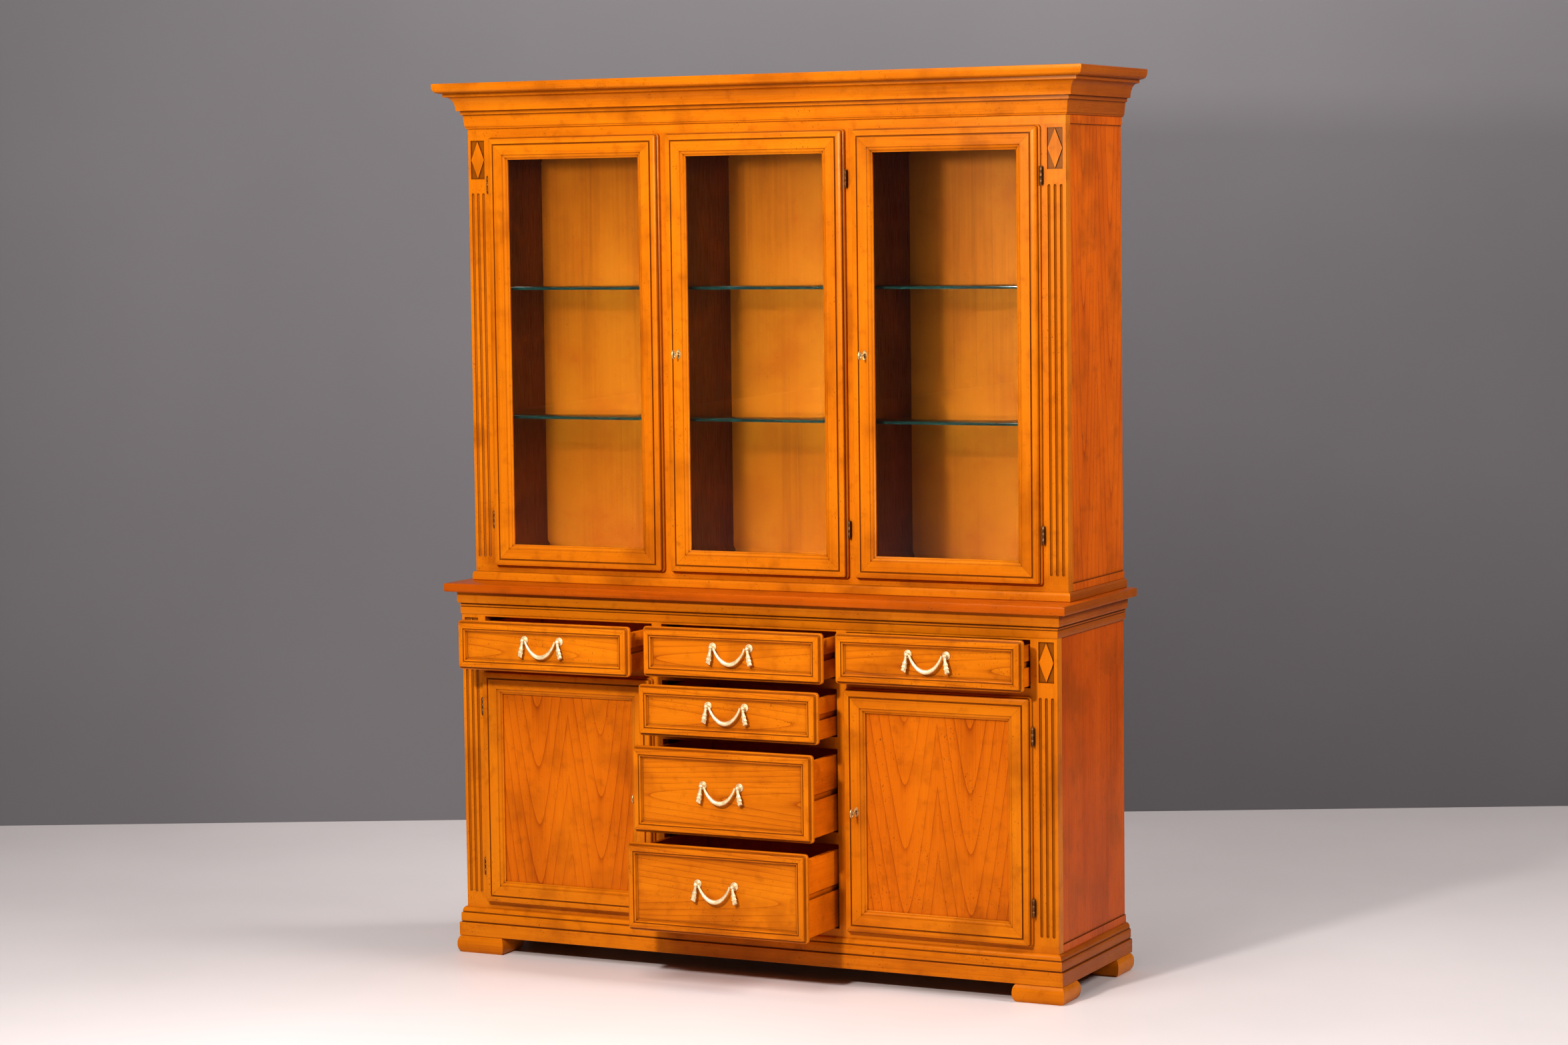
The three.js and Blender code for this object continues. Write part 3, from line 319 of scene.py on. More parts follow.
def wood(name, tone, axis, seed, cross=None, figure=None, other_tone=None, sunk=None,
         glaze=FULL_GLAZE_AND_SHADE, gloss=SATIN_GLOSS, shine=LACQUER_SHINE):
    """Lacquered wood. cross is (axis, mask maker): where the mask is 1 the grain runs that way, in other_tone
    if it is given, a darker copy of the wood that paints shade there.
    sunk makes a mask of ground that is cut back and darkened. Grooves and corners get painted shade from
    ambient occlusion, partly the glaze and grime that gather there."""
    graph = Graph(name)

    def coloured(shades, run, number, arches=None):
        value, relief = grain(graph, run, number, arches)
        ramp = graph.add("ShaderNodeValToRGB", {0: value})
        stops = ramp.color_ramp.elements
        stops[0].position, stops[0].color = DARK_STOP, shades["dark"]
        stops[1].position, stops[1].color = LIGHT_STOP, shades["light"]
        stops.new(MIDDLE_STOP).color = shades["mid"]
        return ramp.outputs[0], relief

    colour, relief = coloured(tone, axis, seed, figure)
    if cross:
        mask, line = cross[1](graph)
        other, other_relief = coloured(other_tone or tone, cross[0], seed + SECOND_GRAIN_SEED)
        colour = graph.mix(mask, colour, other)
        relief = graph.mix_value(mask, relief, other_relief)
        if line is not None:
            colour = graph.mix(graph.times(line, MITRE_DARK), colour, GLAZE_AND_SHADE)
    colour, pits = aging(graph, colour, seed)
    if sunk:
        colour = graph.mix(sunk(graph), colour, GLAZE_AND_SHADE)
    # Painted shade: grooves and tight corners found by ambient occlusion are darkened towards the glaze
    # colour.
    groove_shade = graph.range(graph.hollow(GROOVE_SHADE_REACH, GROOVE_SHADE_SAMPLES), GROOVE_SHADE_RANGE, (glaze, 0.0))
    colour = graph.mix(groove_shade, colour, GLAZE_AND_SHADE)
    # Painted shade, partly grime: ground within reach of corners and mouldings is darkened towards the stain
    # colour.
    grime_and_shade = graph.range(graph.hollow(GRIME_AND_SHADE_REACH, GRIME_AND_SHADE_SAMPLES), GRIME_AND_SHADE_RANGE, (GRIME_AND_SHADE_SHARE * glaze, 0.0))
    colour = graph.mix(grime_and_shade, colour, STAIN_AND_SHADE)
    height = graph.minus(graph.times(relief, FIBRE_RELIEF), pits)
    return graph.principled({
        "Base Color": colour,
        "Roughness": graph.range(relief, RELIEF_RANGE, (gloss - SMOOTHER, gloss + ROUGHER)),
        "Normal": graph.bump(height, WOOD_RELIEF, WOOD_BUMP),
        "Specular IOR Level": shine,
        "Specular Tint": LACQUER_TINT,
    })


# ---------- masks of the wood: each maker returns a mask and a line of joints, or None ----------
MITRE_LINE = 0.35 * MM
JOINT_CLEAR = 0.3 * MM
PILASTER_WIDTH = 50 * MM
PILASTER_EDGE = 1.5 * MM
PILASTER_CUT = 0.7 * MM
DIAMOND_BLOCK = 110 * MM
FLUTE_DARK = 0.10
DIAMOND_DARK = 0.60
SIDE_SKIN = 10 * MM
RETURN_TURN = 0.05
DRAWER_BORDER = 28.5 * MM


def front_mask(node, stile=None):
    """1 on the rails of a mitred door or drawer front, and a thin line along its mitres. Inside the stile's
    width the whole middle counts as a rail if a stile width is given."""
    low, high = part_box(node)
    centre, half = (low + high) / 2, (high - low) / 2

    def make(graph):
        here = graph.parts()
        side = graph.minus(half.x, graph.size(graph.minus(here[0], centre.x)))
        end = graph.minus(half.z, graph.size(graph.minus(here[2], centre.z)))
        gap = graph.minus(side, end)
        mask = graph.above(gap, 0)
        line = graph.below(graph.size(gap), MITRE_LINE)
        if stile:
            inside = graph.above(graph.lesser(side, end), stile)
            mask = graph.greater(mask, inside)
            line = graph.times(line, graph.minus(1, inside))
        return mask, line
    return make


def drawer_mask(node):
    """1 on the short upright members at the two ends of a drawer front, and a line along the mitres."""
    rails = front_mask(node, DRAWER_BORDER)

    def make(graph):
        mask, line = rails(graph)
        return graph.minus(1, mask), line
    return make


def frame_mask(low_band, high_band):
    """1 on a face frame's rails: between its stiles, and across the bands at its foot and head."""
    def make(graph):
        here = graph.parts()
        outward = graph.size(here[0])
        outer = graph.size(graph.minus(outward, COLUMN_PITCH))
        between = graph.below(graph.lesser(outward, outer), OPENING_HALF + JOINT_CLEAR)
        bands = graph.greater(graph.below(here[2], low_band), graph.above(here[2], high_band))
        return graph.greater(between, bands), None
    return make


def pilaster_ground(node):
    """How much darker the cut-back ground is in the flutes and round the diamonds of a face frame's corner
    pilasters.
    """
    base = node.startswith("base")
    front = (MOULDED_FRONT if base else HUTCH_FRONT) + PILASTER_CUT
    block = (BASE_BODY_TOP if base else FRIEZE_BOTTOM) - DIAMOND_BLOCK

    def make(graph):
        here = graph.parts()
        outward = graph.size(here[0])
        inner = graph.above(outward, BODY_HALF - PILASTER_WIDTH)
        outer = graph.below(outward, BODY_HALF - PILASTER_EDGE)
        cut_back = graph.above(here[1], front)
        where = graph.times(graph.times(inner, outer), cut_back)
        return graph.times(where, graph.mix_value(graph.above(here[2], block), FLUTE_DARK, DIAMOND_DARK))
    return make


def inside_mask(graph):
    """1 on the face of a side panel that looks into the cabinet."""
    return graph.below(graph.size(graph.parts()[0]), BODY_HALF - SIDE_SKIN), None


def shaded_return_mask(graph):
    """1 on the parts of a moulding that run back along the cabinet's sides, where a darker copy of the wood
    paints shade.
    """
    normal = graph.add("ShaderNodeNewGeometry").outputs["True Normal"]
    facing = graph.add("ShaderNodeSeparateXYZ", {0: normal}).outputs
    return graph.above(graph.minus(graph.size(facing[0]), graph.size(facing[1])), RETURN_TURN), None


# ---------- metal and glass ----------
PATINA_RATE = 90
PATINA_DETAIL = 4
PATINA_RANGE = (0.30, 0.72)
SCRATCH_RATE = (2200, 2200, 260)
SCRATCH_RELIEF = 0.05 * MM
SCRATCH_BUMP = 0.4
TARNISH_REACH = 3 * MM
TARNISH_SAMPLES = 6
TARNISH_RANGE = (0.25, 0.85)
TARNISH_STRENGTH = 0.75
TARNISH_SHADE = 0.25
METAL_GLOSS_RANGE = (0.2, 0.8)
METAL_SMOOTHER = 0.06
METAL_ROUGHER = 0.10
GLASS_IOR = 1.45
GLASS_WAVE_RATE = 14
GLASS_BUMP = 0.2
EDGE_RATE = (60, 60, 900)
EDGE_RANGE = (0.3, 0.7)
EDGE_DARK = (0.002, 0.010, 0.008, 1)
EDGE_LIGHT = (0.006, 0.032, 0.026, 1)
EDGE_ROUGHNESS = 0.12
EDGE_SHINE = 0.6


def metal(name, colour, dark, roughness, metallic):
    """Brushed and handled metal with darker hollows."""
    graph = Graph(name)
    cloud = graph.noise((PATINA_RATE,) * 3, detail=PATINA_DETAIL)
    base = graph.mix(graph.range(cloud, PATINA_RANGE), dark, colour)
    open_ground = graph.hollow(TARNISH_REACH, TARNISH_SAMPLES)
    tarnish = graph.range(open_ground, TARNISH_RANGE, (TARNISH_STRENGTH, 0.0))
    base = graph.mix(tarnish, base, [channel * TARNISH_SHADE for channel in dark[:3]] + [1])
    gloss = (roughness - METAL_SMOOTHER, roughness + METAL_ROUGHER)
    return graph.principled({
        "Base Color": base,
        "Metallic": metallic,
        "Normal": graph.bump(graph.noise(SCRATCH_RATE), SCRATCH_RELIEF, SCRATCH_BUMP),
        "Roughness": graph.range(cloud, METAL_GLOSS_RANGE, gloss),
    })


def pane_glass(name, tint, smear):
    """Clear glass that lets lamps through, with faint uneven polish. smear is its relief in mm."""
    graph = Graph(name)
    wave = graph.noise((GLASS_WAVE_RATE,) * 3)
    shader = graph.add("ShaderNodeBsdfPrincipled", {
        "Base Color": tint, "Roughness": 0.0, "IOR": GLASS_IOR, "Transmission Weight": 1.0,
        "Normal": graph.bump(wave, smear * MM, GLASS_BUMP),
    })
    clear = graph.add("ShaderNodeBsdfTransparent", {"Color": tint})
    lamp = graph.add("ShaderNodeLightPath").outputs["Is Shadow Ray"]
    return graph.finish(graph.blend(lamp, shader, clear))


def glass_edge(name):
    """The dark teal that a sheet of glass shows along its cut edge."""
    graph = Graph(name)
    colour = graph.mix(graph.range(graph.noise(EDGE_RATE), EDGE_RANGE), EDGE_DARK, EDGE_LIGHT)
    return graph.principled({
        "Base Color": colour, "Roughness": EDGE_ROUGHNESS, "Specular IOR Level": EDGE_SHINE,
    })


# ---------- mesh building ----------
def turn(number, count):
    """The angle of one of count even steps round a circle."""
    return 2 * math.pi * number / count


def millimetres(profile):
    """A table in mm as one in metres."""
    return [tuple(value * MM for value in row) for row in profile]


class Mesh:
    """Collects solids that are built of rings into one mesh."""

    def __init__(self):
        self.points = []
        self.faces = []

    def rings(self, rings, loop=False):
        """Quads between neighbouring rings of points. The end rings become caps, or meet in a loop."""
        start, count, size = len(self.points), len(rings), len(rings[0])
        for ring in rings:
            self.points.extend(ring)
        for ring in range(count if loop else count - 1):
            low = start + ring * size
            high = start + ((ring + 1) % count) * size
            for i in range(size):
                j = (i + 1) % size
                self.faces.append((low + i, low + j, high + j, high + i))
        if not loop:
            self.faces.append(tuple(range(start, start + size))[::-1])
            self.faces.append(tuple(range(start + (count - 1) * size, start + count * size)))

    def lathe(self, origin, axis, profile, sides, lobes=0, lobe_depth=0.0):
        """A turned solid from rows of (radius, height) or (radius, height, share of the lobes' depth)."""
        up = Vector(axis).normalized()
        side = up.orthogonal().normalized()
        other = up.cross(side)
        rings = []
        for radius, height, *share in profile:
            depth = lobe_depth * share[0] if share else 0.0
            ring = []
            for angle in (turn(i, sides) for i in range(sides)):
                reach = radius * (1 + depth * math.cos(lobes * angle))
                out = side * math.cos(angle) + other * math.sin(angle)
                ring.append(Vector(origin) + up * height + out * reach)
            rings.append(ring)
        self.rings(rings)

    def torus(self, centre, plane, radii, wire, steps, sides):
        """A ring bow: plane is a pair of unit vectors, radii the half sizes of its centre line."""
        first, second = (Vector(v) for v in plane)
        third = first.cross(second)
        rings = []
        for angle in (turn(k, steps) for k in range(steps)):
            x, y = math.cos(angle), math.sin(angle)
            spot = Vector(centre) + first * radii[0] * x + second * radii[1] * y
            out = (first * x / radii[0] + second * y / radii[1]).normalized()
            around = [turn(i, sides) for i in range(sides)]
            rings.append([spot + (out * math.cos(a) + third * math.sin(a)) * wire for a in around])
        self.rings(rings, loop=True)

    def piece(self, name, material, body, smooth=True):
        """Makes the mesh an object that rides on a body."""
        mesh = bpy.data.meshes.new(name)
        mesh.from_pydata([tuple(point) for point in self.points], [], self.faces)
        mesh.validate()
        mesh.update()
        mesh.polygons.foreach_set("use_smooth", [smooth] * len(mesh.polygons))
        made = bpy.data.objects.new(name, mesh)
        bpy.context.scene.collection.objects.link(made)
        made.data.materials.append(material)
        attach(made, body)
        return made


# ---------- drawer pulls ----------
POST_SPACING = 96 * MM
POST_RISE = 18 * MM         # from the middle of the drawer front up to the posts
BALL_RADIUS = 5.0           # mm
BALL_OUT = 12.0             # mm, from the drawer front to the ball's middle
BALL_ANGLES = range(36, 180, 12)
BALL_TIP = (0.4, 17.0, 0)
ROSETTE_PROFILE = [         # mm: radius, height, share of the beads
    (9.8, 0.0, 1), (10.1, 0.9, 1), (9.7, 2.0, 1), (8.9, 2.7, 0.6), (8.1, 2.5, 0.3), (7.4, 1.5, 0),
    (6.4, 1.1, 0), (5.2, 1.5, 0), (3.9, 2.6, 0), (3.1, 4.2, 0), (2.9, 7.2, 0),
]
ROSETTE_SIDES = 48
ROSETTE_BEADS = 24
BEAD_DEPTH = 0.018

TASSEL_LENGTH = 37 * MM
TASSEL_OUTLINE = [          # share of the length, radius in mm
    (0.02, 1.6), (0.05, 3.0), (0.10, 3.6), (0.16, 3.5), (0.24, 3.7), (0.34, 4.4), (0.42, 5.4),
    (0.47, 6.3), (0.49, 6.4), (0.505, 5.2), (0.58, 5.0), (0.66, 5.4), (0.72, 6.5), (0.745, 6.6),
    (0.765, 5.0), (0.84, 4.9), (0.92, 5.4), (0.98, 5.7), (1.0, 5.1), (1.0, 2.0),
]
TASSEL_SIDES = 40
TASSEL_FLATNESS = 0.62
TASSEL_FORWARD = 0.5 * MM
TASSEL_BELOW = 2.5 * MM
TASSEL_ASIDE = 0.4 * MM
TASSEL_LEAN = 7.0 * MM
LEAN_CURVE = 1.2
SKIRT_START = 0.26          # share of the length where the pleats begin
SKIRT_GROWTH = 2.2
PLEATS = 6
PLEAT_DEPTH = 0.13
PLEAT_TURN = 0.8
PLEAT_TWIST = 1.6
HEM_SLOPE = 2.6 * MM
HEM_TURN = 0.6

BAIL_HALF = 41 * MM
BAIL_DROP = 39 * MM
BAIL_CURVE = 0.8
BAIL_STEPS = 56
BAIL_SIDES = 48
BAIL_END = 4.8              # mm thick
BAIL_MIDDLE = 11.0          # mm thick
BAIL_SWELL = 1.9
BAIL_TANGENT = 0.02
BAIL_REEDS = 8
REED_DEPTH = 0.035
REED_CURVE = 0.7
REED_LIMIT = 0.97
COLLAR_LIMIT = 0.995
NECK_LIMIT = 0.975
COLLAR_SWELL = 1.22
NECK_SWELL = 0.9


def pull_place(drawer):
    """Where a drawer's two balls hang: middle x, ball y and z, from the drawer front's box."""
    low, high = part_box(f"drawer_front_{drawer}")
    return (low.x + high.x) / 2, low.y, (low.z + high.z) / 2 + POST_RISE


def rosettes(drawer, material):
    """Two beaded discs on the drawer front, each with a ball on a short neck."""
    x, y, z = pull_place(drawer)
    ball = [
        (BALL_RADIUS * math.sin(a), BALL_OUT - BALL_RADIUS * math.cos(a), 0)
        for a in (math.radians(degrees) for degrees in BALL_ANGLES)
    ]
    profile = [(r * MM, h * MM, share) for r, h, share in ROSETTE_PROFILE + ball + [BALL_TIP]]
    mesh = Mesh()
    for side in (-1, 1):
        origin = (x + side * POST_SPACING / 2, y + BALL_OUT * MM, z)
        mesh.lathe(origin, (0, -1, 0), profile, ROSETTE_SIDES, ROSETTE_BEADS, BEAD_DEPTH)
    mesh.piece(f"pull_rosettes_{drawer}", material, f"drawer_{drawer}")


def tassels(drawer, material):
    """A draped cord end under each ball: a knot, then a pleated skirt in two steps that leans outwards."""
    x, y, z = pull_place(drawer)
    mesh = Mesh()
    for side in (-1, 1):
        rings = []
        for share, radius in TASSEL_OUTLINE:
            pleat = max(0.0, min(1.0, (share - SKIRT_START) * SKIRT_GROWTH))
            middle_x = x + side * (POST_SPACING / 2 + TASSEL_ASIDE + TASSEL_LEAN * share ** LEAN_CURVE)
            ring = []
            for angle in (turn(i, TASSEL_SIDES) for i in range(TASSEL_SIDES)):
                fold = math.cos(PLEATS * angle + PLEAT_TURN * side + PLEAT_TWIST * share)
                hem = HEM_SLOPE * pleat * share * math.cos(angle + HEM_TURN * side) * side
                reach = radius * (1 + PLEAT_DEPTH * pleat * fold) * MM
                ring.append(Vector((
                    middle_x + reach * math.cos(angle),
                    y - TASSEL_FORWARD + TASSEL_FLATNESS * reach * math.sin(angle),
                    z - TASSEL_BELOW - share * TASSEL_LENGTH + hem,
                )))
            rings.append(ring)
        mesh.rings(rings)
    mesh.piece(f"pull_tassels_{drawer}", material, f"drawer_{drawer}")


def bail_line(t):
    """The bail's middle line, for t from -1 at its left end to 1 at its right end."""
    return Vector((BAIL_HALF * t, 0, -BAIL_DROP * max(0.0, 1 - t * t) ** BAIL_CURVE))


def bail_radius(t, angle):
    """Half the bail's thickness: reeded, swelling to the middle, with a collar and a neck at each end."""
    radius = (BAIL_END + (BAIL_MIDDLE - BAIL_END) * (1 - abs(t) ** BAIL_SWELL)) / 2 * MM
    collar = 1.0
    if abs(t) > COLLAR_LIMIT:
        collar = COLLAR_SWELL
    elif abs(t) > NECK_LIMIT:
        collar = NECK_SWELL
    depth = REED_DEPTH if abs(t) < REED_LIMIT else 0.0
    return radius * collar * (1 - depth * abs(math.sin(BAIL_REEDS * angle / 2)) ** REED_CURVE)


def bail(drawer, material):
    """The swinging swag, on the CAD bail's line and with its thickness."""
    place = Vector(pull_place(drawer))
    rings = []
    for k in range(BAIL_STEPS + 1):
        t = -math.cos(math.pi * k / BAIL_STEPS)
        run = (bail_line(min(1, t + BAIL_TANGENT)) - bail_line(max(-1, t - BAIL_TANGENT))).normalized()
        normal = Vector((-run.z, 0, run.x))
        ring = []
        for angle in (turn(i, BAIL_SIDES) for i in range(BAIL_SIDES)):
            reach = bail_radius(t, angle)
            flat = Vector((0, -math.sin(angle) * reach, 0)) + normal * math.cos(angle) * reach
            ring.append(place + bail_line(t) + flat)
        rings.append(ring)
    mesh = Mesh()
    mesh.rings(rings)
    made = mesh.piece(f"pull_bail_{drawer}", material, f"bail_{drawer}")
    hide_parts(f"drawer_bail_{drawer}")


# ---------- keys, escutcheons, hinges and shelf pins ----------
BOW_BACK = 8 * MM           # from the key's front end to the bow's middle
BOW_RADII = (6.2 * MM, 9.2 * MM)
BOW_WIRE = 1.7 * MM
BOW_STEPS = 40
BOW_SIDES = 12
COLLAR_BACK = 5.6 * MM      # from the bow's middle to the collar
COLLAR_PROFILE = [
    (1.5, 0.0), (2.5, 0.3), (3.2, 1.2), (3.2, 2.0), (2.4, 2.8), (2.9, 3.6), (2.9, 4.2), (1.9, 4.8),
]
SHAFT_RADIUS = 1.9 * MM
SHAFT_TIP = 1.5 * MM
SHAFT_CHAMFER = 0.4 * MM
TURNED_SIDES = 24

PLATE_SIDES = 64
PLATE_RINGS = [             # mm: half width, half height, how far out of the stile
    (5.6, 11.2, -0.4), (5.6, 11.2, 0.7), (5.0, 10.6, 1.3), (4.4, 10.0, 1.1),
]
KEYHOLE_HEIGHTS = (1.1, -0.4)           # mm out of the stile
KEYHOLE_RISE = 1.5          # mm, as the three sizes below
KEYHOLE_RADIUS = 2.7
SLOT_HALF = 1.5
SLOT_LENGTH = 4.2
SLOT_START = 0.55           # sine of the downward angle at which the slot begins
SLOT_FADE = 0.3

HINGE_INSET = {"hutch": 116 * MM, "lower": 90 * MM}     # from the door's end to the hinge's middle
HINGE_HALF = 20.4           # mm
KNUCKLES = 3
KNUCKLE = 2 * HINGE_HALF / KNUCKLES
KNUCKLE_PROFILE = [(2.2, 0.0), (2.85, 0.4), (2.85, KNUCKLE - 0.6), (2.2, KNUCKLE - 0.2)]
FINIAL_PROFILE = [(1.3, 0.2), (1.9, 1.1), (1.5, 1.9), (0.4, 2.2)]
LEAF_HALF = 1.5 * MM
LEAF_DEPTH = 7.9 * MM
LEAF_HEIGHT = 20.2 * MM
LEAF_CORNERS = ((-1, -1), (1, -1), (1, 1), (-1, 1))

PIN_PROFILE = [(2.4, -2.4), (2.4, 4.5), (1.9, 5.4), (0.5, 5.8)]
PIN_SIDES = 16
PIN_INSET = 40 * MM
PIN_BELOW = 2.5 * MM


def key_piece(name, material):
    """A cabinet key: oval bow, collar, shaft."""
    low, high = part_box(name)
    x, z = (low.x + high.x) / 2, (low.z + high.z) / 2
    bow_y = low.y + BOW_BACK
    start = bow_y + COLLAR_BACK
    length = high.y - start
    mesh = Mesh()
    mesh.torus((x, bow_y, z), ((0, 1, 0), (0, 0, 1)), BOW_RADII, BOW_WIRE, BOW_STEPS, BOW_SIDES)
    end = [(SHAFT_RADIUS, length - SHAFT_CHAMFER), (SHAFT_TIP, length)]
    mesh.lathe((x, start, z), (0, 1, 0), millimetres(COLLAR_PROFILE) + end, TURNED_SIDES)
    made = mesh.piece(name.replace("key", "key_with_bow"), material, name)
    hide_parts(name)


def escutcheon(name, material):
    """An oval plate let into the stile, with a keyhole: rings from its outer edge to the hole's wall."""
    low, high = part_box(name)
    x, z = (low.x + high.x) / 2, (low.z + high.z) / 2
    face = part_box(name.replace("key", "door_frame"))[0].y
    angles = [turn(i, PLATE_SIDES) for i in range(PLATE_SIDES)]

    def oval(half_x, half_z, out):
        return [Vector((x + half_x * math.cos(a), face - out, z + half_z * math.sin(a))) for a in angles]

    def keyhole(out):
        ring = []
        for a in angles:
            down = -math.sin(a)
            in_slot = down >= SLOT_START
            slot = SLOT_LENGTH * min(1.0, (down - SLOT_START) / SLOT_FADE) if in_slot else 0.0
            reach = KEYHOLE_RADIUS + slot
            wide = SLOT_HALF if in_slot else KEYHOLE_RADIUS
            across = max(-wide, min(wide, reach * math.cos(a)))
            ring.append(Vector((x + across * MM, face - out, z + (KEYHOLE_RISE + reach * math.sin(a)) * MM)))
        return ring

    mesh = Mesh()
    plate = [oval(*row) for row in millimetres(PLATE_RINGS)]
    hole = [keyhole(out * MM) for out in KEYHOLE_HEIGHTS]
    mesh.rings(plate + hole, loop=True)
    mesh.piece(name.replace("key", "escutcheon"), material, name.replace("key", "door"), False)


def hinge_pieces(door, material):
    """Two barrels of a butt hinge beside the door's edge, each in knuckles with a finial at both ends."""
    x, y = JOINTS[f"{door}_hinge"]["pos_m"][:2]
    low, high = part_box(door.replace("door", "door_frame"))
    inset = HINGE_INSET[door.split("_")[0]]
    profile = [(radius, -HINGE_HALF - out) for radius, out in reversed(FINIAL_PROFILE)]
    for k in range(KNUCKLES):
        profile += [(radius, -HINGE_HALF + k * KNUCKLE + height) for radius, height in KNUCKLE_PROFILE]
    profile += [(radius, HINGE_HALF + out) for radius, out in FINIAL_PROFILE]
    for label, z in (("lower", low.z + inset), ("upper", high.z - inset)):
        mesh = Mesh()
        mesh.lathe((x, y, z), (0, 0, 1), millimetres(profile), TURNED_SIDES)
        mesh.rings([
            [Vector((x + sx * LEAF_HALF, leaf_y, z + sz * LEAF_HEIGHT)) for sx, sz in LEAF_CORNERS]
            for leaf_y in (y, y + LEAF_DEPTH)
        ])
        mesh.piece(f"{door}_knuckle_{label}", material, "carcass")


def shelf_pins(node, material):
    """Four bullet pins under one glass shelf."""
    low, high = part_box(node)
    mesh = Mesh()
    for x, inward in ((low.x, 1), (high.x, -1)):
        for y in (low.y + PIN_INSET, high.y - PIN_INSET):
            mesh.lathe((x, y, low.z - PIN_BELOW), (inward, 0, 0), millimetres(PIN_PROFILE), PIN_SIDES)
    mesh.piece(node.replace("glass_shelf", "shelf_pins"), material, "carcass")


# ---------- finish of the CAD nodes ----------
WELD_DISTANCE = 0.02 * MM
BEVEL_SEGMENTS = 2
BEVEL_ANGLE = math.radians(35)
CRISP_ANGLE = math.radians(32)
GLASS_BEVEL = 0.4 * MM
BOX_BEVEL = 0.5 * MM
SEEDS = {                   # of each family of pieces: the first seed and its step
    "moulding": (11.3, 5.1), "face_frame": (41.9, 7), "hutch_side": (61, 1), "base_side": (71.5, 1),
    "foot": (81, 3.3), "partition": (91, 2.7), "board": (101, 4.3), "door": (121, 6.1),
    "panel": (161, 2.9), "drawer": (181, 4.7),
}
BOX_SEED = 2                # on top of its drawer's seed
MOULDING_SHINE = 0.14
SIDE_SHINE = 0.08
# Strength of the painted shade in hollows, partly glaze, on frames, insides, panels and drawer boxes.
FRAME_GLAZE_AND_SHADE = 0.62
INNER_GLAZE_AND_SHADE = 0.5
INNER_GLOSS = 0.4
PANEL_GLAZE_AND_SHADE = 0.4
BOX_GLAZE_AND_SHADE = 0.6
SIDE_ARCHES = (-80 * MM, 90 * MM)       # places of the arches from the middle of the piece
SIDE_FIGURE = (3.0, 45)                 # rings per metre up the middle, and out to the sides
PANEL_ARCHES = (-84 * MM, 84 * MM)
PANEL_FIGURE = (6.5, 47)
DRAWER_ARCHES = (-14 * MM,)
DRAWER_RISE = 5.0
DRAWER_SPREAD = 80
DOOR_GLASS_TINT = (0.97, 0.985, 0.98, 1)
DOOR_GLASS_SMEAR = 0.02
SHELF_GLASS_TINT = (0.86, 0.95, 0.93, 1)
LEVEL_FACE = 0.5
SATIN_BRASS = ((0.90, 0.76, 0.48, 1), (0.70, 0.54, 0.30, 1), 0.42, 0.55)
AGED_BRASS = ((0.86, 0.68, 0.36, 1), (0.55, 0.38, 0.16, 1), 0.34, 0.8)
DARK_BRONZE = ((0.22, 0.11, 0.045, 1), (0.10, 0.05, 0.022, 1), 0.42, 0.9)


def dress(node, material, bevel=0.0):
    """Gives a CAD node its material, welded corners and crisp or softly rounded edges."""
    made = NODES[node]
    made.data.materials.clear()
    made.data.materials.append(material)
    if "custom_normal" in made.data.attributes:
        made.data.attributes.remove(made.data.attributes["custom_normal"])
    made.data.polygons.foreach_set("use_smooth", [True] * len(made.data.polygons))
    weld = made.modifiers.new("weld", "WELD")
    weld.merge_threshold = WELD_DISTANCE
    if bevel:
        round_off = made.modifiers.new("eased_edges", "BEVEL")
        round_off.width = bevel
        round_off.segments = BEVEL_SEGMENTS
        round_off.limit_method = "ANGLE"
        round_off.angle_limit = BEVEL_ANGLE
    split = made.modifiers.new("crisp_edges", "EDGE_SPLIT")
    split.split_angle = CRISP_ANGLE


def dress_wood(node, slot, tone, axis, seed, bevel=0.0, **look):
    dress(node, wood(f"{node}_wood", tone, axis, seed, **look), bevel)


def seed_of(family, number):
    first, step = SEEDS[family]
    return first + number * step


def arches(across, centre, places, figure):
    return (across, [centre + place for place in places], *figure)


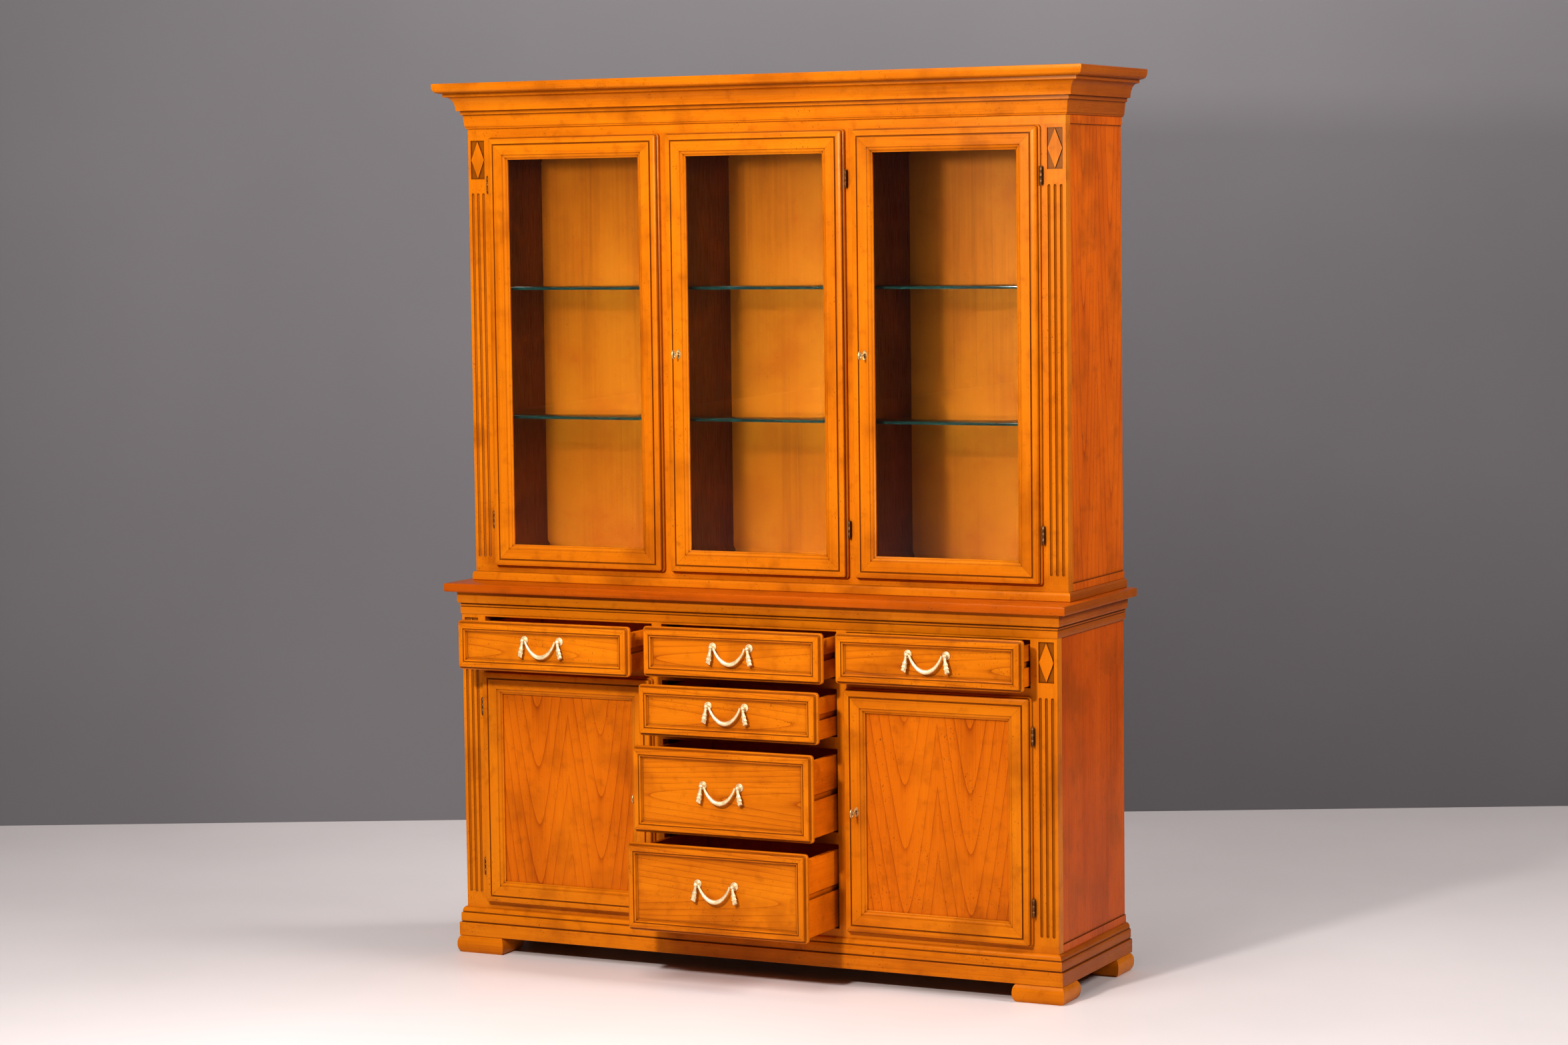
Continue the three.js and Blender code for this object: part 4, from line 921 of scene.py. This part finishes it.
def finish_carcass():
    mouldings = ("crown_cornice", "counter_moulding", "plinth_moulding", "hutch_base", "counter_top")
    for number, node in enumerate(mouldings):
        tone = SLAB_CHERRY if node == "counter_top" else CHERRY
        dress_wood(node, "cherry", tone, "X", seed_of("moulding", number), cross=("Y", shaded_return_mask),
                   other_tone=SHADED_RETURN_CHERRY, shine=MOULDING_SHINE)
    frames = (
        ("hutch_face_frame", HUTCH_FLOOR, FRIEZE_BOTTOM),
        ("base_face_frame", LOWER_OPENING, BASE_BODY_TOP),
    )
    for number, (node, low, high) in enumerate(frames):
        dress_wood(node, "cherry", CHERRY, "Z", seed_of("face_frame", number),
                   cross=("X", frame_mask(low, high)), sunk=pilaster_ground(node), glaze=FRAME_GLAZE_AND_SHADE)
    for number, side in enumerate(("left", "right")):
        node = f"hutch_side_{side}"
        figure = arches("Y", middle(node).y, SIDE_ARCHES, SIDE_FIGURE)
        dress_wood(node, "side_cherry", SIDE_CHERRY, "Z", seed_of("hutch_side", number), figure=figure,
                   cross=("Z", inside_mask), other_tone=SHADED_CHERRY, shine=SIDE_SHINE)
        dress_wood(f"base_side_{side}", "side_cherry", BASE_SIDE_CHERRY, "Z", seed_of("base_side", number),
                   shine=SIDE_SHINE)
        for end in ("front", "back"):
            dress_wood(f"{end}_foot_{side}", "cherry", CHERRY, "X", seed_of("foot", number))
        for part in ("hutch_partition", "base_partition"):
            dress_wood(f"{part}_{side}", "inner_wood", SHADED_CHERRY, "Z", seed_of("partition", number),
                       glaze=INNER_GLAZE_AND_SHADE)
    boards = (("hutch_back_panel", "Z"), ("base_back_panel", "Z"), ("base_bottom_board", "X"))
    for number, (node, run) in enumerate(boards):
        dress_wood(node, "inner_wood", INNER_CHERRY, run, seed_of("board", number), glaze=INNER_GLAZE_AND_SHADE,
                   gloss=INNER_GLOSS)


def finish_doors():
    for number, door in enumerate(DOORS):
        node = door.replace("door", "door_frame")
        dress_wood(node, "cherry", CHERRY, "Z", seed_of("door", number), cross=("X", front_mask(node)))
    for number, column in enumerate(("left", "right")):
        node = f"lower_door_panel_{column}"
        figure = arches("X", middle(node).x, PANEL_ARCHES, PANEL_FIGURE)
        dress_wood(node, "figured_cherry", PANEL_CHERRY, "Z", seed_of("panel", number), figure=figure,
                   glaze=PANEL_GLAZE_AND_SHADE)
    clear = pane_glass("door_glass_clear", DOOR_GLASS_TINT, DOOR_GLASS_SMEAR)
    for column in COLUMNS:
        dress(f"hutch_door_glass_{column}", clear)


def finish_shelves():
    clear = pane_glass("shelf_glass_clear", SHELF_GLASS_TINT, 0.0)
    edge = glass_edge("shelf_glass_edge")
    for node in SHELVES:
        dress(node, clear, GLASS_BEVEL)
        mesh = NODES[node].data
        mesh.materials.append(edge)
        for polygon in mesh.polygons:
            polygon.material_index = 0 if abs(polygon.normal.z) > LEVEL_FACE else 1


def finish_drawers():
    for number, drawer in enumerate(DRAWERS):
        node = f"drawer_front_{drawer}"
        seed = seed_of("drawer", number)
        rise = DRAWER_RISE if number % 2 else -DRAWER_RISE
        figure = arches("Z", middle(node).z, DRAWER_ARCHES, (rise, DRAWER_SPREAD))
        dress_wood(node, "cherry", CHERRY, "X", seed, cross=("Z", drawer_mask(node)), figure=figure)
        dress_wood(f"drawer_box_{drawer}", "drawer_wood", BOX_CHERRY, "Y", seed + BOX_SEED, BOX_BEVEL,
                   glaze=BOX_GLAZE_AND_SHADE)


def add_hardware():
    satin = metal("satin_brass_metal", *SATIN_BRASS)
    aged = metal("aged_brass_metal", *AGED_BRASS)
    bronze = metal("dark_bronze_metal", *DARK_BRONZE)
    for drawer in DRAWERS:
        rosettes(drawer, satin)
        tassels(drawer, satin)
        bail(drawer, satin)
    for name in KEYS:
        key_piece(name, aged)
        escutcheon(name, aged)
    for door in DOORS:
        hinge_pieces(door, bronze)
    for node in SHELVES:
        shelf_pins(node, aged)


# ---------- studio ----------
VIEW_YAW = 0.4597           # radians, as the pitch and the roll
VIEW_PITCH = 0.0840
VIEW_ROLL = -0.01268
CAMERA_PLACE = Vector((3.9023, BACK_Y - 8.1079, 1.8116))
SENSOR_WIDTH = 36
LENS = 84.08
WALL_AHEAD = 10.95          # from the camera to the wall's foot
FLOOR_NEAR = 22             # from the wall's foot to the floor's near edge
FLOOR_FAR = 14              # from the wall's foot to the floor's far edge
STAGE_HALF_WIDTH = 16
WALL_HEIGHT = 9
STAGE_CLOUD_RATE = 0.9
STAGE_CLOUD_DETAIL = 4
STAGE_SHINE = 0.3
FLOOR_LOOK = ((0.64, 0.585, 0.575, 1), (0.78, 0.72, 0.71, 1), 0.45)      # dark, light, roughness
WALL_LOOK = ((0.150, 0.140, 0.147, 1), (0.185, 0.174, 0.182, 1), 0.8)
LAMPS = (                   # name, place, aim, size, power, colour
    ("key_light", (0.05, BACK_Y - 3.4, 2.2), (0, 0, 1.15), (0.24, 0.22), 108, (1.0, 0.99, 0.97)),
    ("right_light", (4.0, BACK_Y - 0.55, 2.9), (0.8, BACK_Y - 0.2, 1.5), (1.2, 1.2), 125, (1.0, 0.99, 0.98)),
    ("floor_light", (-0.5, BACK_Y - 3.6, 4.3), (-0.6, BACK_Y - 3.0, 0), (3.0, 2.4), 160, (1.0, 1.0, 1.0)),
    ("wall_light", (0.5, BACK_Y + 0.6, 4.8), (-2.0, BACK_Y + 4.0, 2.6), (4.0, 1.0), 170, (1.0, 1.0, 1.0)),
)
ROOM_LIGHT = (0.045, 0.045, 0.047, 1)
VIEW_GAMMA = 0.88


def stage_plane(name, corners, look, one_sided=False):
    """A plain plane of the studio with a faint cloudy tone. A one-sided plane shows its front only."""
    dark, light, roughness = look
    graph = Graph(name)
    cloud = graph.noise((STAGE_CLOUD_RATE,) * 3, detail=STAGE_CLOUD_DETAIL)
    shader = graph.add("ShaderNodeBsdfPrincipled", {
        "Base Color": graph.mix(cloud, dark, light), "Roughness": roughness,
        "Specular IOR Level": STAGE_SHINE,
    })
    if one_sided:
        behind = graph.add("ShaderNodeNewGeometry").outputs["Backfacing"]
        shader = graph.blend(behind, shader, graph.add("ShaderNodeBsdfTransparent"))
    mesh = bpy.data.meshes.new(name)
    mesh.from_pydata(corners, [], [(0, 1, 2, 3)])
    plane = bpy.data.objects.new(name, mesh)
    plane.data.materials.append(graph.finish(shader))
    bpy.context.scene.collection.objects.link(plane)


def make_backdrop():
    """A pale floor, and a grey wall that stands square to the viewing direction behind the cabinet. The floor
    runs on past the wall, because a view from behind looks through the one-sided wall."""
    ahead = Vector((-math.sin(VIEW_YAW), math.cos(VIEW_YAW), 0))
    wide = Vector((math.cos(VIEW_YAW), math.sin(VIEW_YAW), 0)) * STAGE_HALF_WIDTH
    foot = Vector((CAMERA_PLACE.x, CAMERA_PLACE.y, 0)) + ahead * WALL_AHEAD
    near = foot - ahead * FLOOR_NEAR
    far = foot + ahead * FLOOR_FAR
    high = Vector((0, 0, WALL_HEIGHT))
    stage_plane("studio_floor", [near - wide, near + wide, far + wide, far - wide], FLOOR_LOOK)
    wall = [foot - wide, foot + wide, foot + wide + high, foot - wide + high]
    stage_plane("studio_wall", wall, WALL_LOOK, one_sided=True)


def softbox(name, place, aim, size, power, colour):
    data = bpy.data.lights.new(name, "AREA")
    data.shape = "RECTANGLE"
    data.size, data.size_y = size
    data.energy = power
    data.color = colour
    lamp = bpy.data.objects.new(name, data)
    lamp.location = place
    lamp.rotation_euler = (Vector(aim) - Vector(place)).to_track_quat("-Z", "Y").to_euler()
    lamp.visible_camera = False
    bpy.context.scene.collection.objects.link(lamp)


def make_studio():
    make_backdrop()
    for lamp in LAMPS:
        softbox(*lamp)
    world = bpy.data.worlds.new("studio")
    world.use_nodes = True
    background = world.node_tree.nodes["Background"]
    background.inputs["Color"].default_value = ROOM_LIGHT
    background.inputs["Strength"].default_value = 1.0
    scene = bpy.context.scene
    scene.world = world
    scene.view_settings.view_transform = "Standard"
    scene.view_settings.gamma = VIEW_GAMMA


def make_camera():
    """A long lens at standing eye height, in front of the right-hand corner."""
    level = Vector((math.cos(VIEW_YAW), math.sin(VIEW_YAW), 0))
    flat = math.cos(VIEW_PITCH)
    forward = Vector((-math.sin(VIEW_YAW) * flat, math.cos(VIEW_YAW) * flat, -math.sin(VIEW_PITCH)))
    upright = level.cross(forward)
    right = level * math.cos(VIEW_ROLL) + upright * math.sin(VIEW_ROLL)
    up = upright * math.cos(VIEW_ROLL) - level * math.sin(VIEW_ROLL)
    data = bpy.data.cameras.new("camera")
    data.sensor_width = SENSOR_WIDTH
    data.lens = LENS
    camera = bpy.data.objects.new("camera", data)
    camera.matrix_world = Matrix((right, up, -forward)).transposed().to_4x4()
    camera.location = CAMERA_PLACE
    bpy.context.scene.collection.objects.link(camera)
    bpy.context.scene.camera = camera


make_camera()
make_studio()
finish_carcass()
finish_doors()
finish_shelves()
finish_drawers()
add_hardware()
